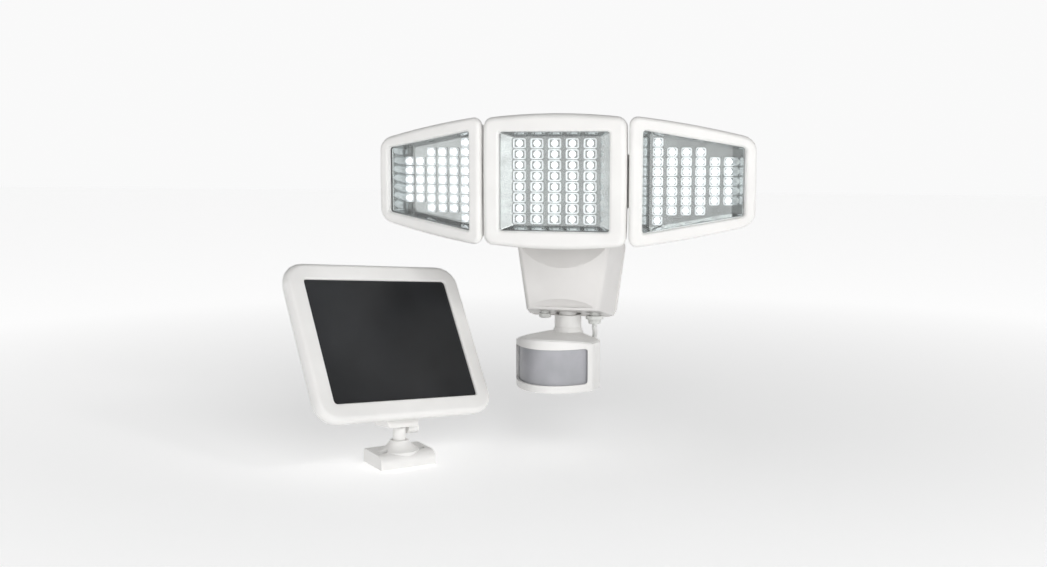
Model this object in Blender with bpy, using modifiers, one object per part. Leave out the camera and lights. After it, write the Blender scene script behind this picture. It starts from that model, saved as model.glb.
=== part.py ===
"""Solar flood light: three LED heads on a battery body with a motion sensor, and a solar panel on a ball stem.

Sizes are written in millimetres and built in metres. +X is to the right, +Y is towards the wall and +Z is up.
The origin is the middle of the wall plate's back face.
"""

import math

import bmesh
import bpy
from mathutils import Matrix, Vector

MM = 0.001
GAP = 0.3

# Lamp: where the units stand from the wall plate's back face.
HEAD_FACE_Y = -100.0
HEAD_Z = 85.0
TILT_AXIS = (0.0, -46.0, 52.0)
WING_AXIS_X = 56.5
WING_AXIS_DEPTH = 28.0
WING_FOLD = 18.4
WING_EDGE_X = 62.4

# Centre head, seen from the front.
HEAD_WIDTH = 120.0
HEAD_HEIGHT = 105.0
HEAD_BOW = 3.6
OPENING_WIDTH = 93.0
OPENING_HEIGHT = 82.0
FLOOR_WIDTH = 75.0
FLOOR_HEIGHT = 75.0

# Side heads: they taper from the inner edge to the outer edge.
WING_LENGTH = 107.0
WING_INNER_HEIGHT = 110.0
WING_OUTER_HEIGHT = 72.0
WING_OPENING_INNER = 84.0
WING_OPENING_OUTER = 56.0
WING_BORDER_INNER = 12.0
WING_BORDER_OUTER = 10.0
WING_FLOOR_INNER = 78.0
WING_FLOOR_OUTER = 50.0
WING_FLOOR_START = 21.0
WING_FLOOR_END = 91.5

# Depths behind the front plane of every head.
BEZEL_DEPTH = 14.0
LIP_DEPTH = 5.0
COVER_FRONT = LIP_DEPTH + GAP
COVER_BACK = 6.8
SEAL_BACK = 8.0
CENTRE_FLOOR_DEPTH = 14.0
WING_FLOOR_DEPTH = 22.0
BOARD_THICKNESS = 1.6
HEAD_DEPTH = 36.0
CENTRE_RIMS = (0.06, 0.66, 1.0)
WING_RIMS = (0.42, 0.62, 0.95)
SHELL_WALL = 2.2

# LEDs: 5 mm domes.
LED_RADIUS = 2.5
LED_HEIGHT = 5.5
CENTRE_PITCH = (14.8, 9.0)
CENTRE_COLUMNS = (8, 8, 8, 8, 8)
WING_PITCH = (12.0, 8.1)
WING_COLUMNS = (9, 7, 7, 7, 5, 5)
WING_FIRST_COLUMN = 28.0

# Battery body.
BODY_FRONT_Y = -62.0
BODY_BACK_Y = -18.0
COVER_REAR_Y = -10.0
BODY_TOP = 30.0
BODY_SCOOP_Z = 10.0
BODY_LIP_Z = -26.0
BODY_BOTTOM = -36.0
# Half widths at the front and at the back, each at the top and at the bottom.
BODY_HALF_FRONT = (40.5, 30.5)
BODY_HALF_BACK = (47.4, 38.4)
BODY_FLANGE = 1.4
SCREW_PLACES = ((-39.4, 24.6), (39.4, 24.6), (-27.5, -28.2), (27.5, -28.2))
CELL_RADIUS = 7.25
CELL_LENGTH = 50.5
CELL_PITCH = 15.4
SOCKET_AT = (-19.5, -40.0)
GLAND_AT = (24.8, -40.0)
NECK_AT = (0.0, -34.0)
NECK_RADIUS = 11.8
NECK_BOTTOM = -44.0

# Motion sensor, in its own frame: the neck axis is its origin and -Y is its front.
SENSOR_BALL_Z = -52.0
SENSOR_TURN = -12.0
SENSOR_HALF = 36.0
SENSOR_NOSE = 30.0
SENSOR_SEAM = -30.0
SENSOR_SIDE_BACK = -11.0
SENSOR_BACK = 14.0
SENSOR_BACK_HALF = 12.0
SENSOR_TOP = -52.0
SENSOR_BOTTOM = -94.0
LENS_TOP = -57.0
LENS_BOTTOM = -85.0
LENS_HALF = 32.5
LEAD_RADIUS = 2.2

# Solar panel, in its own frame: the ball's centre is its origin and -Y is its front.
BALL_AT = (-128.5, -120.0, -117.9)
PANEL_TURN = 59.4
PANEL_LEAN = 29.9
PANEL_ROLL = 6.0
PANEL_FACE = -22.0
PANEL_RISE = 67.3
PANEL_WIDTH = 183.0
PANEL_HEIGHT = 141.6
GLASS_WIDTH = 150.5
GLASS_HEIGHT = 110.5
PANEL_BEZEL_DEPTH = 10.0
PANEL_DEPTH = 14.5
BALL_RADIUS = 6.8
STEM_RADIUS = 5.6
STEM_NECK_RADIUS = 3.9
STEM_NECK_LENGTH = 14.0
BASE_LENGTH = 50.0
BASE_WIDTH = 38.0
BASE_HEIGHT = 12.1
BASE_TURN = 43.4
BASE_BOTTOM = -153.5
BASE_SCREW_SPAN = 34.0

COLOURS = {
    "white_plastic": ((0.80, 0.78, 0.76), 0.42, 0.0),
    "grey_plastic": ((0.30, 0.30, 0.31), 0.5, 0.0),
    "black_plastic": ((0.04, 0.04, 0.045), 0.45, 0.0),
    "reflector": ((0.86, 0.87, 0.88), 0.12, 1.0),
    "board": ((0.55, 0.56, 0.56), 0.5, 0.0),
    "green_board": ((0.03, 0.22, 0.09), 0.45, 0.0),
    "clear": ((0.9, 0.93, 0.95), 0.05, 0.0),
    "rubber": ((0.05, 0.05, 0.05), 0.7, 0.0),
    "steel": ((0.55, 0.55, 0.56), 0.3, 1.0),
    "cell_wrap": ((0.10, 0.32, 0.18), 0.4, 0.0),
    "lens": ((0.16, 0.15, 0.18), 0.35, 0.0),
    "panel_glass": ((0.05, 0.05, 0.055), 0.15, 0.0),
    "solar_cell": ((0.02, 0.02, 0.03), 0.3, 0.0),
}


# ---------------------------------------------------------------- tools

def clear_scene():
    for old in list(bpy.data.objects):
        bpy.data.objects.remove(old, do_unlink=True)


def make_collection(name):
    collection = bpy.data.collections.new(name)
    bpy.context.scene.collection.children.link(collection)
    return collection


def material(name):
    """The named material, made the first time it is asked for."""
    found = bpy.data.materials.get(name)
    if found:
        return found
    colour, roughness, metallic = COLOURS[name]
    made = bpy.data.materials.new(name)
    made.use_nodes = True
    shader = made.node_tree.nodes["Principled BSDF"]
    shader.inputs["Base Color"].default_value = (*colour, 1.0)
    shader.inputs["Roughness"].default_value = roughness
    shader.inputs["Metallic"].default_value = metallic
    return made


def new_object(name, mesh, look, parent=None, tool=False):
    obj = bpy.data.objects.new(name, mesh)
    (TOOLS if tool else PARTS).objects.link(obj)
    obj.parent = parent
    if tool:
        obj.hide_render = True
        obj.display_type = "WIRE"
    else:
        mesh.materials.append(material(look))
    return obj


def mesh_from_bmesh(name, bm):
    mesh = bpy.data.meshes.new(name)
    bmesh.ops.recalc_face_normals(bm, faces=bm.faces)
    for vert in bm.verts:
        vert.co *= MM
    bm.to_mesh(mesh)
    bm.free()
    return mesh


def pivot(name, place, turn=(0.0, 0.0, 0.0), parent=None):
    """An empty on a joint's axis. place is in the parent's frame and turn is in degrees."""
    empty = bpy.data.objects.new(name, None)
    PARTS.objects.link(empty)
    empty.parent = parent
    empty.location = [value * MM for value in place]
    empty.rotation_euler = [math.radians(value) for value in turn]
    return empty


def loft(name, loops, look, parent=None, ring=False, tool=False):
    """A closed solid through loops with equal point counts: a ring, or a body with both ends capped."""
    bm = bmesh.new()
    rows = [[bm.verts.new(point) for point in loop] for loop in loops]
    count = len(loops[0])
    pairs = list(zip(rows, rows[1:]))
    if ring:
        pairs.append((rows[-1], rows[0]))
    for first, second in pairs:
        for i in range(count):
            j = (i + 1) % count
            bm.faces.new((first[i], first[j], second[j], second[i]))
    if not ring:
        bm.faces.new(rows[0])
        bm.faces.new(rows[-1])
    return new_object(name, mesh_from_bmesh(name, bm), look, parent, tool)


def box(name, low, high, look=None, parent=None, tool=False):
    """A box between two corners."""
    bm = bmesh.new()
    size = [high[i] - low[i] for i in range(3)]
    middle = [(high[i] + low[i]) / 2 for i in range(3)]
    bmesh.ops.create_cube(bm, size=1.0, matrix=Matrix.Translation(middle) @ Matrix.Diagonal((*size, 1.0)))
    return new_object(name, mesh_from_bmesh(name, bm), look, parent, tool)


AXIS_TURN = {
    "X": Matrix.Rotation(math.radians(90), 4, "Y"),
    "Y": Matrix.Rotation(math.radians(-90), 4, "X"),
    "Z": Matrix.Identity(4),
}


def cylinder(name, radius, start, end, place, axis, look=None, parent=None, tool=False, sides=16, tip=None):
    """A cylinder from start to end along an axis; place holds the other two coordinates in X, Y, Z order."""
    bm = bmesh.new()
    middle = list(place)
    middle.insert("XYZ".index(axis), (start + end) / 2)
    bmesh.ops.create_cone(
        bm, cap_ends=True, segments=sides, radius1=radius, radius2=radius if tip is None else tip,
        depth=end - start, matrix=Matrix.Translation(middle) @ AXIS_TURN[axis])
    return new_object(name, mesh_from_bmesh(name, bm), look, parent, tool)


def ball(name, radius, centre, look=None, parent=None, tool=False):
    bm = bmesh.new()
    bmesh.ops.create_uvsphere(bm, u_segments=16, v_segments=8, radius=radius, matrix=Matrix.Translation(centre))
    return new_object(name, mesh_from_bmesh(name, bm), look, parent, tool)


def turned(name, profile, place, look, parent=None, sides=24):
    """A turned piece about a vertical axis. profile is (radius, height) from top to bottom."""
    bm = bmesh.new()
    verts = [bm.verts.new((radius, 0.0, height)) for radius, height in profile]
    for first, second in zip(verts, verts[1:]):
        bm.edges.new((first, second))
    mesh = bpy.data.meshes.new(name)
    for vert in bm.verts:
        vert.co *= MM
    bm.to_mesh(mesh)
    bm.free()
    obj = new_object(name, mesh, look, parent)
    obj.location = [value * MM for value in place]
    screw = obj.modifiers.new("turn", "SCREW")
    screw.steps = sides
    screw.render_steps = sides
    screw.use_merge_vertices = True
    screw.merge_threshold = 0.00005
    return obj


def cut(obj, cutter):
    step = obj.modifiers.new("cut", "BOOLEAN")
    step.operation = "DIFFERENCE"
    step.object = cutter


def add(obj, piece):
    step = obj.modifiers.new("add", "BOOLEAN")
    step.operation = "UNION"
    step.object = piece


# ---------------------------------------------------------------- outlines

def rounded(corners, radii, bows, arc_steps=3, edge_steps=2):
    """An outline with rounded corners, and edges that bow outwards by bows. Corners run clockwise."""
    count = len(corners)
    ends = []
    arcs = []
    for i, (corner, radius) in enumerate(zip(corners, radii)):
        here = Vector(corner)
        before = (Vector(corners[i - 1]) - here).normalized()
        after = (Vector(corners[(i + 1) % count]) - here).normalized()
        half = before.angle(after) / 2
        reach = radius / math.tan(half)
        middle = here + (before + after).normalized() * (radius / math.sin(half))
        start = here + before * reach - middle
        sweep = (here + after * reach - middle).angle_signed(start)
        points = []
        for k in range(arc_steps + 1):
            points.append(middle + Matrix.Rotation(sweep * k / arc_steps, 2) @ start)
        arcs.append(points)
        ends.append((points[0], points[-1]))
    outline = []
    for i in range(count):
        outline.extend(arcs[i])
        start = ends[i][1]
        finish = ends[(i + 1) % count][0]
        along = (finish - start).normalized()
        outwards = Vector((-along.y, along.x))
        for k in range(1, edge_steps):
            t = k / edge_steps
            outline.append(start.lerp(finish, t) + outwards * (bows[i] * 4 * t * (1 - t)))
    return outline


def trapezoid(inner_x, outer_x, inner_height, outer_height, radii, bow=0.0):
    """Corners clockwise from the inner top one."""
    corners = (
        (inner_x, inner_height / 2), (outer_x, outer_height / 2),
        (outer_x, -outer_height / 2), (inner_x, -inner_height / 2))
    return rounded(corners, radii, (bow, bow / 3, bow, 0.0))


def mixed(first, second, share):
    """The outline that lies a share of the way from the first to the second."""
    return [a.lerp(b, share) for a, b in zip(first, second)]


def at_depth(outline, depth, side=1.0):
    """Front-view points at a depth; side -1 mirrors them."""
    return [(side * point.x, depth, point.y) for point in outline]


# ---------------------------------------------------------------- heads

def led_cluster(name, columns, pitch, first_x, floor, parent, side):
    """All the domes of one board, as one tool to join to it."""
    bm = bmesh.new()
    for index, rows in enumerate(columns):
        for row in range(rows):
            place = (
                side * (first_x + index * pitch[0]),
                floor - LED_HEIGHT / 2 + 0.2,
                ((rows - 1) / 2 - row) * pitch[1])
            bmesh.ops.create_cone(
                bm, cap_ends=True, segments=6, radius1=LED_RADIUS, radius2=LED_RADIUS * 0.55,
                depth=LED_HEIGHT + 0.4, matrix=Matrix.Translation(place) @ Matrix.Rotation(math.radians(90), 4, "X"))
    return new_object(name, mesh_from_bmesh(name, bm), None, parent, tool=True)


def make_head(prefix, outer, opening, floor, floor_depth, columns, pitch, first_x, rims, parent, side=1.0):
    """One lamp head: bezel, clear cover, seal, reflector, LED board and rear shell.

    rims holds how far the outer wall has drawn in at the bezel's rim, half way down the shell and at its back,
    as shares of the border between the head's outline and its opening.
    """
    def ring_at(share, depth):
        return at_depth(mixed(outer, opening, share), depth, side)

    def floor_at(depth, grow=0.0):
        return at_depth(mixed(floor, opening, grow), depth, side)

    rim, waist, back = rims
    pocket = rim + 0.18
    bezel = (
        (rim, BEZEL_DEPTH), (rim * 0.35, 7.0), (0.0, 3.8), (0.12, 1.6), (0.38, 0.2), (0.70, 0.2), (0.93, 1.4),
        (1.0, 3.0), (1.0, LIP_DEPTH), (0.86, LIP_DEPTH), (0.84, SEAL_BACK), (pocket, SEAL_BACK),
        (pocket - 0.02, BEZEL_DEPTH))
    loft(prefix + "_bezel", [ring_at(*row) for row in bezel], "white_plastic", parent, ring=True)

    cover = [ring_at(0.88, COVER_FRONT), ring_at(0.88, COVER_BACK)]
    loft(prefix + "_cover", cover, "clear", parent)

    seal = (
        (0.88, COVER_BACK + GAP), (0.97, COVER_BACK + GAP), (0.97, SEAL_BACK), (0.88, SEAL_BACK))
    loft(prefix + "_seal", [ring_at(*row) for row in seal], "rubber", parent, ring=True)

    flange = SEAL_BACK + GAP
    edge = pocket + 0.06
    reflector = [
        ring_at(0.98, flange), floor_at(floor_depth), floor_at(floor_depth, 0.12),
        ring_at(0.90, flange + 1.2), ring_at(edge, flange + 1.2), ring_at(edge, flange)]
    loft(prefix + "_reflector", reflector, "reflector", parent, ring=True)

    front = floor_depth + GAP
    board = loft(
        prefix + "_led_board",
        [ring_at(0.86, front), ring_at(0.86, front + BOARD_THICKNESS)], "board", parent)
    add(board, led_cluster(prefix + "_leds", columns, pitch, first_x, front, parent, side))

    join = BEZEL_DEPTH + GAP
    middle = join + 12.0
    shell = [
        ring_at(back + 0.15, HEAD_DEPTH - SHELL_WALL), ring_at(waist + 0.18, middle), ring_at(pocket, join),
        ring_at(rim, join), ring_at(waist, middle), ring_at(back, HEAD_DEPTH)]
    return loft(prefix + "_rear_shell", shell, "white_plastic", parent)


def knuckle(name, shell, parent, x, low, high, arm_to, clearance):
    """A hinge barrel with an arm, joined to a shell and bored for its pin."""
    depth = WING_AXIS_DEPTH
    add(shell, box(name + "_arm", (min(x, arm_to), depth - 2.5, low), (max(x, arm_to), depth + 2.5, high),
                   parent=parent, tool=True))
    add(shell, cylinder(name + "_barrel", 3.9, low, high, (x, depth), "Z", parent=parent, tool=True, sides=16))
    cut(shell, cylinder(name + "_bore", 1.6 + clearance, low - 1, high + 1, (x, depth), "Z",
                        parent=parent, tool=True, sides=16))


def make_centre_head(tilt_pivot):
    face = pivot("centre_face", (0.0, HEAD_FACE_Y - TILT_AXIS[1], HEAD_Z - TILT_AXIS[2]), parent=tilt_pivot)
    half = HEAD_WIDTH / 2
    tall = HEAD_HEIGHT / 2
    outer = rounded(((-half, tall), (half, tall), (half, -tall), (-half, -tall)), (7,) * 4,
                    (HEAD_BOW, 0.6, HEAD_BOW, 0.6))
    wide = OPENING_WIDTH / 2
    high = OPENING_HEIGHT / 2
    opening = rounded(((-wide, high), (wide, high), (wide, -high), (-wide, -high)), (2.5,) * 4, (0,) * 4)
    wide = FLOOR_WIDTH / 2
    high = FLOOR_HEIGHT / 2
    floor = rounded(((-wide, high), (wide, high), (wide, -high), (-wide, -high)), (1.5,) * 4, (0,) * 4)
    first = -CENTRE_PITCH[0] * (len(CENTRE_COLUMNS) - 1) / 2
    shell = make_head("centre", outer, opening, floor, CENTRE_FLOOR_DEPTH, CENTRE_COLUMNS, CENTRE_PITCH, first,
                      CENTRE_RIMS, face)
    for side, name in ((-1, "left"), (1, "right")):
        x = side * WING_AXIS_X
        reach = side * 47.5
        knuckle(name + "_knuckle_low", shell, face, x, -22.0, -10.3, reach, 0.0)
        knuckle(name + "_knuckle_high", shell, face, x, 10.3, 22.0, reach, 0.0)
        cylinder(name + "_wing_pin", 1.35, -23.0, 23.0, (x, WING_AXIS_DEPTH), "Z", "steel", face, sides=16)
    return face


def make_wing(name, side, centre_face):
    """A side head, folded back about its hinge pin."""
    hinge = pivot(name + "_wing_pivot", (side * WING_AXIS_X, WING_AXIS_DEPTH, 0.0), parent=centre_face)
    fold = math.radians(WING_FOLD)
    # The wing's own frame starts at the front of its inner edge.
    edge = Vector((side * WING_EDGE_X - side * WING_AXIS_X, -WING_AXIS_DEPTH, 0.0))
    face = pivot(name + "_face", edge, (0.0, 0.0, side * WING_FOLD), parent=hinge)
    outer = trapezoid(0.0, WING_LENGTH, WING_INNER_HEIGHT, WING_OUTER_HEIGHT, (8, 11, 11, 8), 1.8)
    slope = (WING_OPENING_INNER - WING_OPENING_OUTER) / (WING_LENGTH - WING_BORDER_INNER - WING_BORDER_OUTER)
    opening = trapezoid(WING_BORDER_INNER, WING_LENGTH - WING_BORDER_OUTER, WING_OPENING_INNER,
                        WING_OPENING_OUTER, (2.5,) * 4)
    floor = trapezoid(WING_FLOOR_START, WING_FLOOR_END, WING_FLOOR_INNER,
                      WING_FLOOR_INNER - slope * (WING_FLOOR_END - WING_FLOOR_START), (1.5,) * 4)
    shell = make_head(name, outer, opening, floor, WING_FLOOR_DEPTH, WING_COLUMNS, WING_PITCH,
                      WING_FIRST_COLUMN, WING_RIMS, face, side)
    # The middle knuckle, placed from the hinge's frame into the wing's frame.
    back = Matrix.Rotation(-side * fold, 4, "Z") @ (-edge)
    x = back.x
    depth = back.y
    low = -10.0
    high = 10.0
    arm_to = x + side * 9.0
    add(shell, box(name + "_middle_arm", (min(x, arm_to), depth - 2.5, low), (max(x, arm_to), depth + 2.5, high),
                   parent=face, tool=True))
    add(shell, cylinder(name + "_middle_barrel", 3.9, low, high, (x, depth), "Z", parent=face, tool=True, sides=16))
    cut(shell, cylinder(name + "_middle_bore", 1.7, low - 1, high + 1, (x, depth), "Z",
                        parent=face, tool=True, sides=16))


# ---------------------------------------------------------------- battery body

def body_half(y, z):
    """Half the body's width, which grows towards the wall and towards the top."""
    back = min((y - BODY_FRONT_Y) / (BODY_BACK_Y - BODY_FRONT_Y), 1.0)
    high = BODY_HALF_FRONT[0] + (BODY_HALF_BACK[0] - BODY_HALF_FRONT[0]) * back
    low = BODY_HALF_FRONT[1] + (BODY_HALF_BACK[1] - BODY_HALF_FRONT[1]) * back
    return low + (high - low) * (z - BODY_BOTTOM) / (BODY_TOP - BODY_BOTTOM)


def make_body():
    wall = SHELL_WALL
    def section(y, top, bottom, inset=0.0):
        wide = body_half(y, top) - inset
        narrow = body_half(y, bottom) - inset
        top -= inset
        bottom += inset
        corners = ((-wide, top), (wide, top), (narrow, bottom), (-narrow, bottom))
        return at_depth(rounded(corners, (max(6.0 - inset, 1.5),) * 4, (0.0,) * 4), y)

    front = [
        section(BODY_FRONT_Y + wall + 1.2, BODY_SCOOP_Z, BODY_LIP_Z, wall + 1.5),
        section(BODY_FRONT_Y + 14.0, BODY_TOP - 2.0, BODY_LIP_Z - 2.0, wall),
        section(BODY_BACK_Y, BODY_TOP, BODY_BOTTOM, wall),
        section(BODY_BACK_Y, BODY_TOP, BODY_BOTTOM),
        section(BODY_FRONT_Y + 13.0, BODY_TOP, BODY_LIP_Z - 2.0),
        section(BODY_FRONT_Y + 1.5, BODY_SCOOP_Z + 2.0, BODY_LIP_Z),
        section(BODY_FRONT_Y, BODY_SCOOP_Z, BODY_LIP_Z, 1.5)]
    shell = loft("body_front_shell", front, "white_plastic")

    grow = -BODY_FLANGE
    rear = [
        section(COVER_REAR_Y - wall, BODY_TOP, BODY_BOTTOM, wall + 2.0),
        section(BODY_BACK_Y + GAP, BODY_TOP, BODY_BOTTOM, wall),
        section(BODY_BACK_Y + GAP, BODY_TOP, BODY_BOTTOM, grow),
        section(BODY_BACK_Y + 3.0, BODY_TOP, BODY_BOTTOM, grow),
        section(COVER_REAR_Y, BODY_TOP, BODY_BOTTOM, 2.0)]
    cover = loft("body_rear_cover", rear, "white_plastic")

    for number, (x, z) in enumerate(SCREW_PLACES, 1):
        tag = "body_screw_%d" % number
        add(shell, cylinder(tag + "_boss", 3.6, BODY_BACK_Y - 16.0, BODY_BACK_Y, (x, z), "Y", tool=True, sides=12))
        cut(shell, cylinder(tag + "_pilot", 1.8, BODY_BACK_Y - 12.0, BODY_BACK_Y + 1, (x, z), "Y",
                            tool=True, sides=12))
        add(cover, cylinder(tag + "_pad", 3.6, BODY_BACK_Y + GAP, COVER_REAR_Y - 1.0, (x, z), "Y",
                            tool=True, sides=12))
        cut(cover, cylinder(tag + "_hole", 1.8, BODY_BACK_Y - 1, COVER_REAR_Y + 1, (x, z), "Y",
                            tool=True, sides=12))
        screw = cylinder(tag, 1.45, BODY_BACK_Y - 10.0, COVER_REAR_Y + 1.0, (x, z), "Y", "steel", sides=12)
        add(screw, cylinder(tag + "_head", 3.0, COVER_REAR_Y + GAP, COVER_REAR_Y + 2.0, (x, z), "Y",
                            tool=True, sides=12))
    return shell, cover


def make_wall_plate():
    outline = rounded(((-34.0, 24.0), (34.0, 24.0), (34.0, -24.0), (-34.0, -24.0)), (6,) * 4, (0,) * 4)
    plate = loft("wall_plate", [at_depth(outline, -4.0), at_depth(outline, 0.0)], "grey_plastic")
    add(plate, box("wall_pad", (-15.0, COVER_REAR_Y + GAP, -14.0), (15.0, -3.0, 14.0), tool=True))
    for x in (-25.0, 25.0):
        cut(plate, cylinder("wall_hole", 2.3, -5.0, 1.0, (x, 0.0), "Y", tool=True, sides=16))


def make_insides():
    half = CELL_PITCH * 1.5
    back = -27.0
    front = back - 12.0
    low = -25.8
    high = low + CELL_LENGTH
    plate = 1.4
    holder = box("battery_holder", (-half, back - plate, low - plate - GAP), (half, back, high + plate),
                 "black_plastic")
    add(holder, box("holder_floor", (-half, front, low - plate - GAP), (half, back - 1.0, low - GAP), tool=True))
    add(holder, box("holder_roof", (-half, front, high + GAP), (half, back - 1.0, high + plate), tool=True))
    for number in range(3):
        x = (number - 1) * CELL_PITCH
        cylinder("battery_cell_%d" % (number + 1), CELL_RADIUS, low, high,
                 (x, back - plate - GAP - CELL_RADIUS), "Z", "cell_wrap", sides=20)
    board = box("control_board", (-24.0, -21.6, -20.0), (24.0, -20.0, 22.0), "green_board")
    add(board, cylinder("capacitor", 4.0, -21.0, -14.0, (-14.0, 12.0), "Y", tool=True, sides=12))
    add(board, box("coil", (2.0, -21.0, -12.0), (13.0, -15.0, -2.0), tool=True))
    add(board, box("driver_chip", (-10.0, -21.0, -16.0), (-3.0, -18.0, -8.0), tool=True))


def make_underside(shell):
    """The neck, the solar socket and the lead gland, which hang through the body's floor."""
    for tag, radius, (x, y) in (("neck", 8.4, NECK_AT), ("socket", 4.1, SOCKET_AT), ("gland", 4.1, GLAND_AT)):
        cut(shell, cylinder(tag + "_floor_hole", radius, BODY_BOTTOM - 4.0, BODY_LIP_Z + 3.0, (x, y), "Z",
                            tool=True, sides=20))
    # Each piece has a collar under the floor and a spigot through it; the floor falls towards the back.
    fall = (BODY_BOTTOM - BODY_LIP_Z + 2.0) / (BODY_BACK_Y - BODY_FRONT_Y - 13.0)
    def floor_z(y):
        return BODY_LIP_Z - 2.0 + fall * (y - BODY_FRONT_Y - 13.0)
    inside = -28.2
    low = floor_z(NECK_AT[1] + NECK_RADIUS) - GAP
    turned("neck_post", ((0.0, inside), (8.0, inside), (8.0, low), (NECK_RADIUS, low),
                         (NECK_RADIUS, NECK_BOTTOM), (8.6, NECK_BOTTOM), (8.6, NECK_BOTTOM + 4.0),
                         (0.0, NECK_BOTTOM + 4.0)), (*NECK_AT, 0.0), "white_plastic", sides=20)
    low = floor_z(SOCKET_AT[1] + 5.4) - GAP
    turned("solar_socket", ((0.0, inside), (3.8, inside), (3.8, low), (5.4, low), (5.4, low - 3.2),
                            (4.6, low - 4.0), (2.6, low - 4.0), (2.6, low + 1.0), (0.0, low + 1.0)),
           (*SOCKET_AT, 0.0), "grey_plastic", sides=20)
    low = floor_z(GLAND_AT[1] + 7.8) - GAP
    turned("lead_gland", ((0.0, inside), (3.8, inside), (3.8, low), (7.8, low), (7.8, low - 3.2),
                          (5.6, low - 3.6), (5.2, low - 7.6), (0.0, low - 7.6)),
           (*GLAND_AT, 0.0), "grey_plastic", sides=20)
    return low - 7.6


def make_tilt_bracket():
    """A fixed arm with the pin, and the head's two-eared yoke round it."""
    x, y, z = TILT_AXIS
    arm = box("tilt_bracket", (-9.0, y - 5.0, BODY_TOP + GAP), (9.0, y + 5.0, z), "grey_plastic")
    add(arm, cylinder("bracket_eye", 7.0, -9.0, 9.0, (y, z), "X", tool=True, sides=20))
    add(arm, box("bracket_foot", (-16.0, y - 6.0, BODY_TOP + GAP), (16.0, -20.0, BODY_TOP + 3.5), tool=True))
    cut(arm, cylinder("bracket_bore", 3.05, -10.0, 10.0, (y, z), "X", tool=True, sides=20))
    cylinder("tilt_pin", 2.7, -20.0, 20.0, (y, z), "X", "steel", sides=20)


def make_tilt_yoke(tilt_pivot):
    """Two ears on a plate behind the centre head, turning on the pin."""
    back = HEAD_FACE_Y + HEAD_DEPTH + GAP - TILT_AXIS[1]
    plate = box("tilt_yoke", (-17.0, back, -10.0), (17.0, back + 3.5, 20.0), "grey_plastic", tilt_pivot)
    for side in (-1, 1):
        inner = side * 9.4
        outer = side * 17.0
        add(plate, box("ear", (min(inner, outer), back + 1.0, -6.5), (max(inner, outer), 0.0, 6.5),
                       parent=tilt_pivot, tool=True))
        add(plate, cylinder("ear_eye", 6.5, min(inner, outer), max(inner, outer), (0.0, 0.0), "X",
                            parent=tilt_pivot, tool=True, sides=20))
    cut(plate, cylinder("yoke_bore", 3.1, -20.0, 20.0, (0.0, 0.0), "X", parent=tilt_pivot, tool=True, sides=20))


# ---------------------------------------------------------------- motion sensor

def nose_plan(half, nose, back_y, steps=14):
    """A plan view with a half-ellipse front and a straight back."""
    points = []
    for k in range(steps + 1):
        angle = math.pi * k / steps
        points.append((-half * math.cos(angle), SENSOR_SEAM - nose * math.sin(angle)))
    points.append((half, back_y))
    points.append((-half, back_y))
    return points


def prism(name, plan, low, high, look=None, parent=None, tool=False):
    return loft(name, [[(x, y, low) for x, y in plan], [(x, y, high) for x, y in plan]], look, parent, tool=tool)


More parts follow.
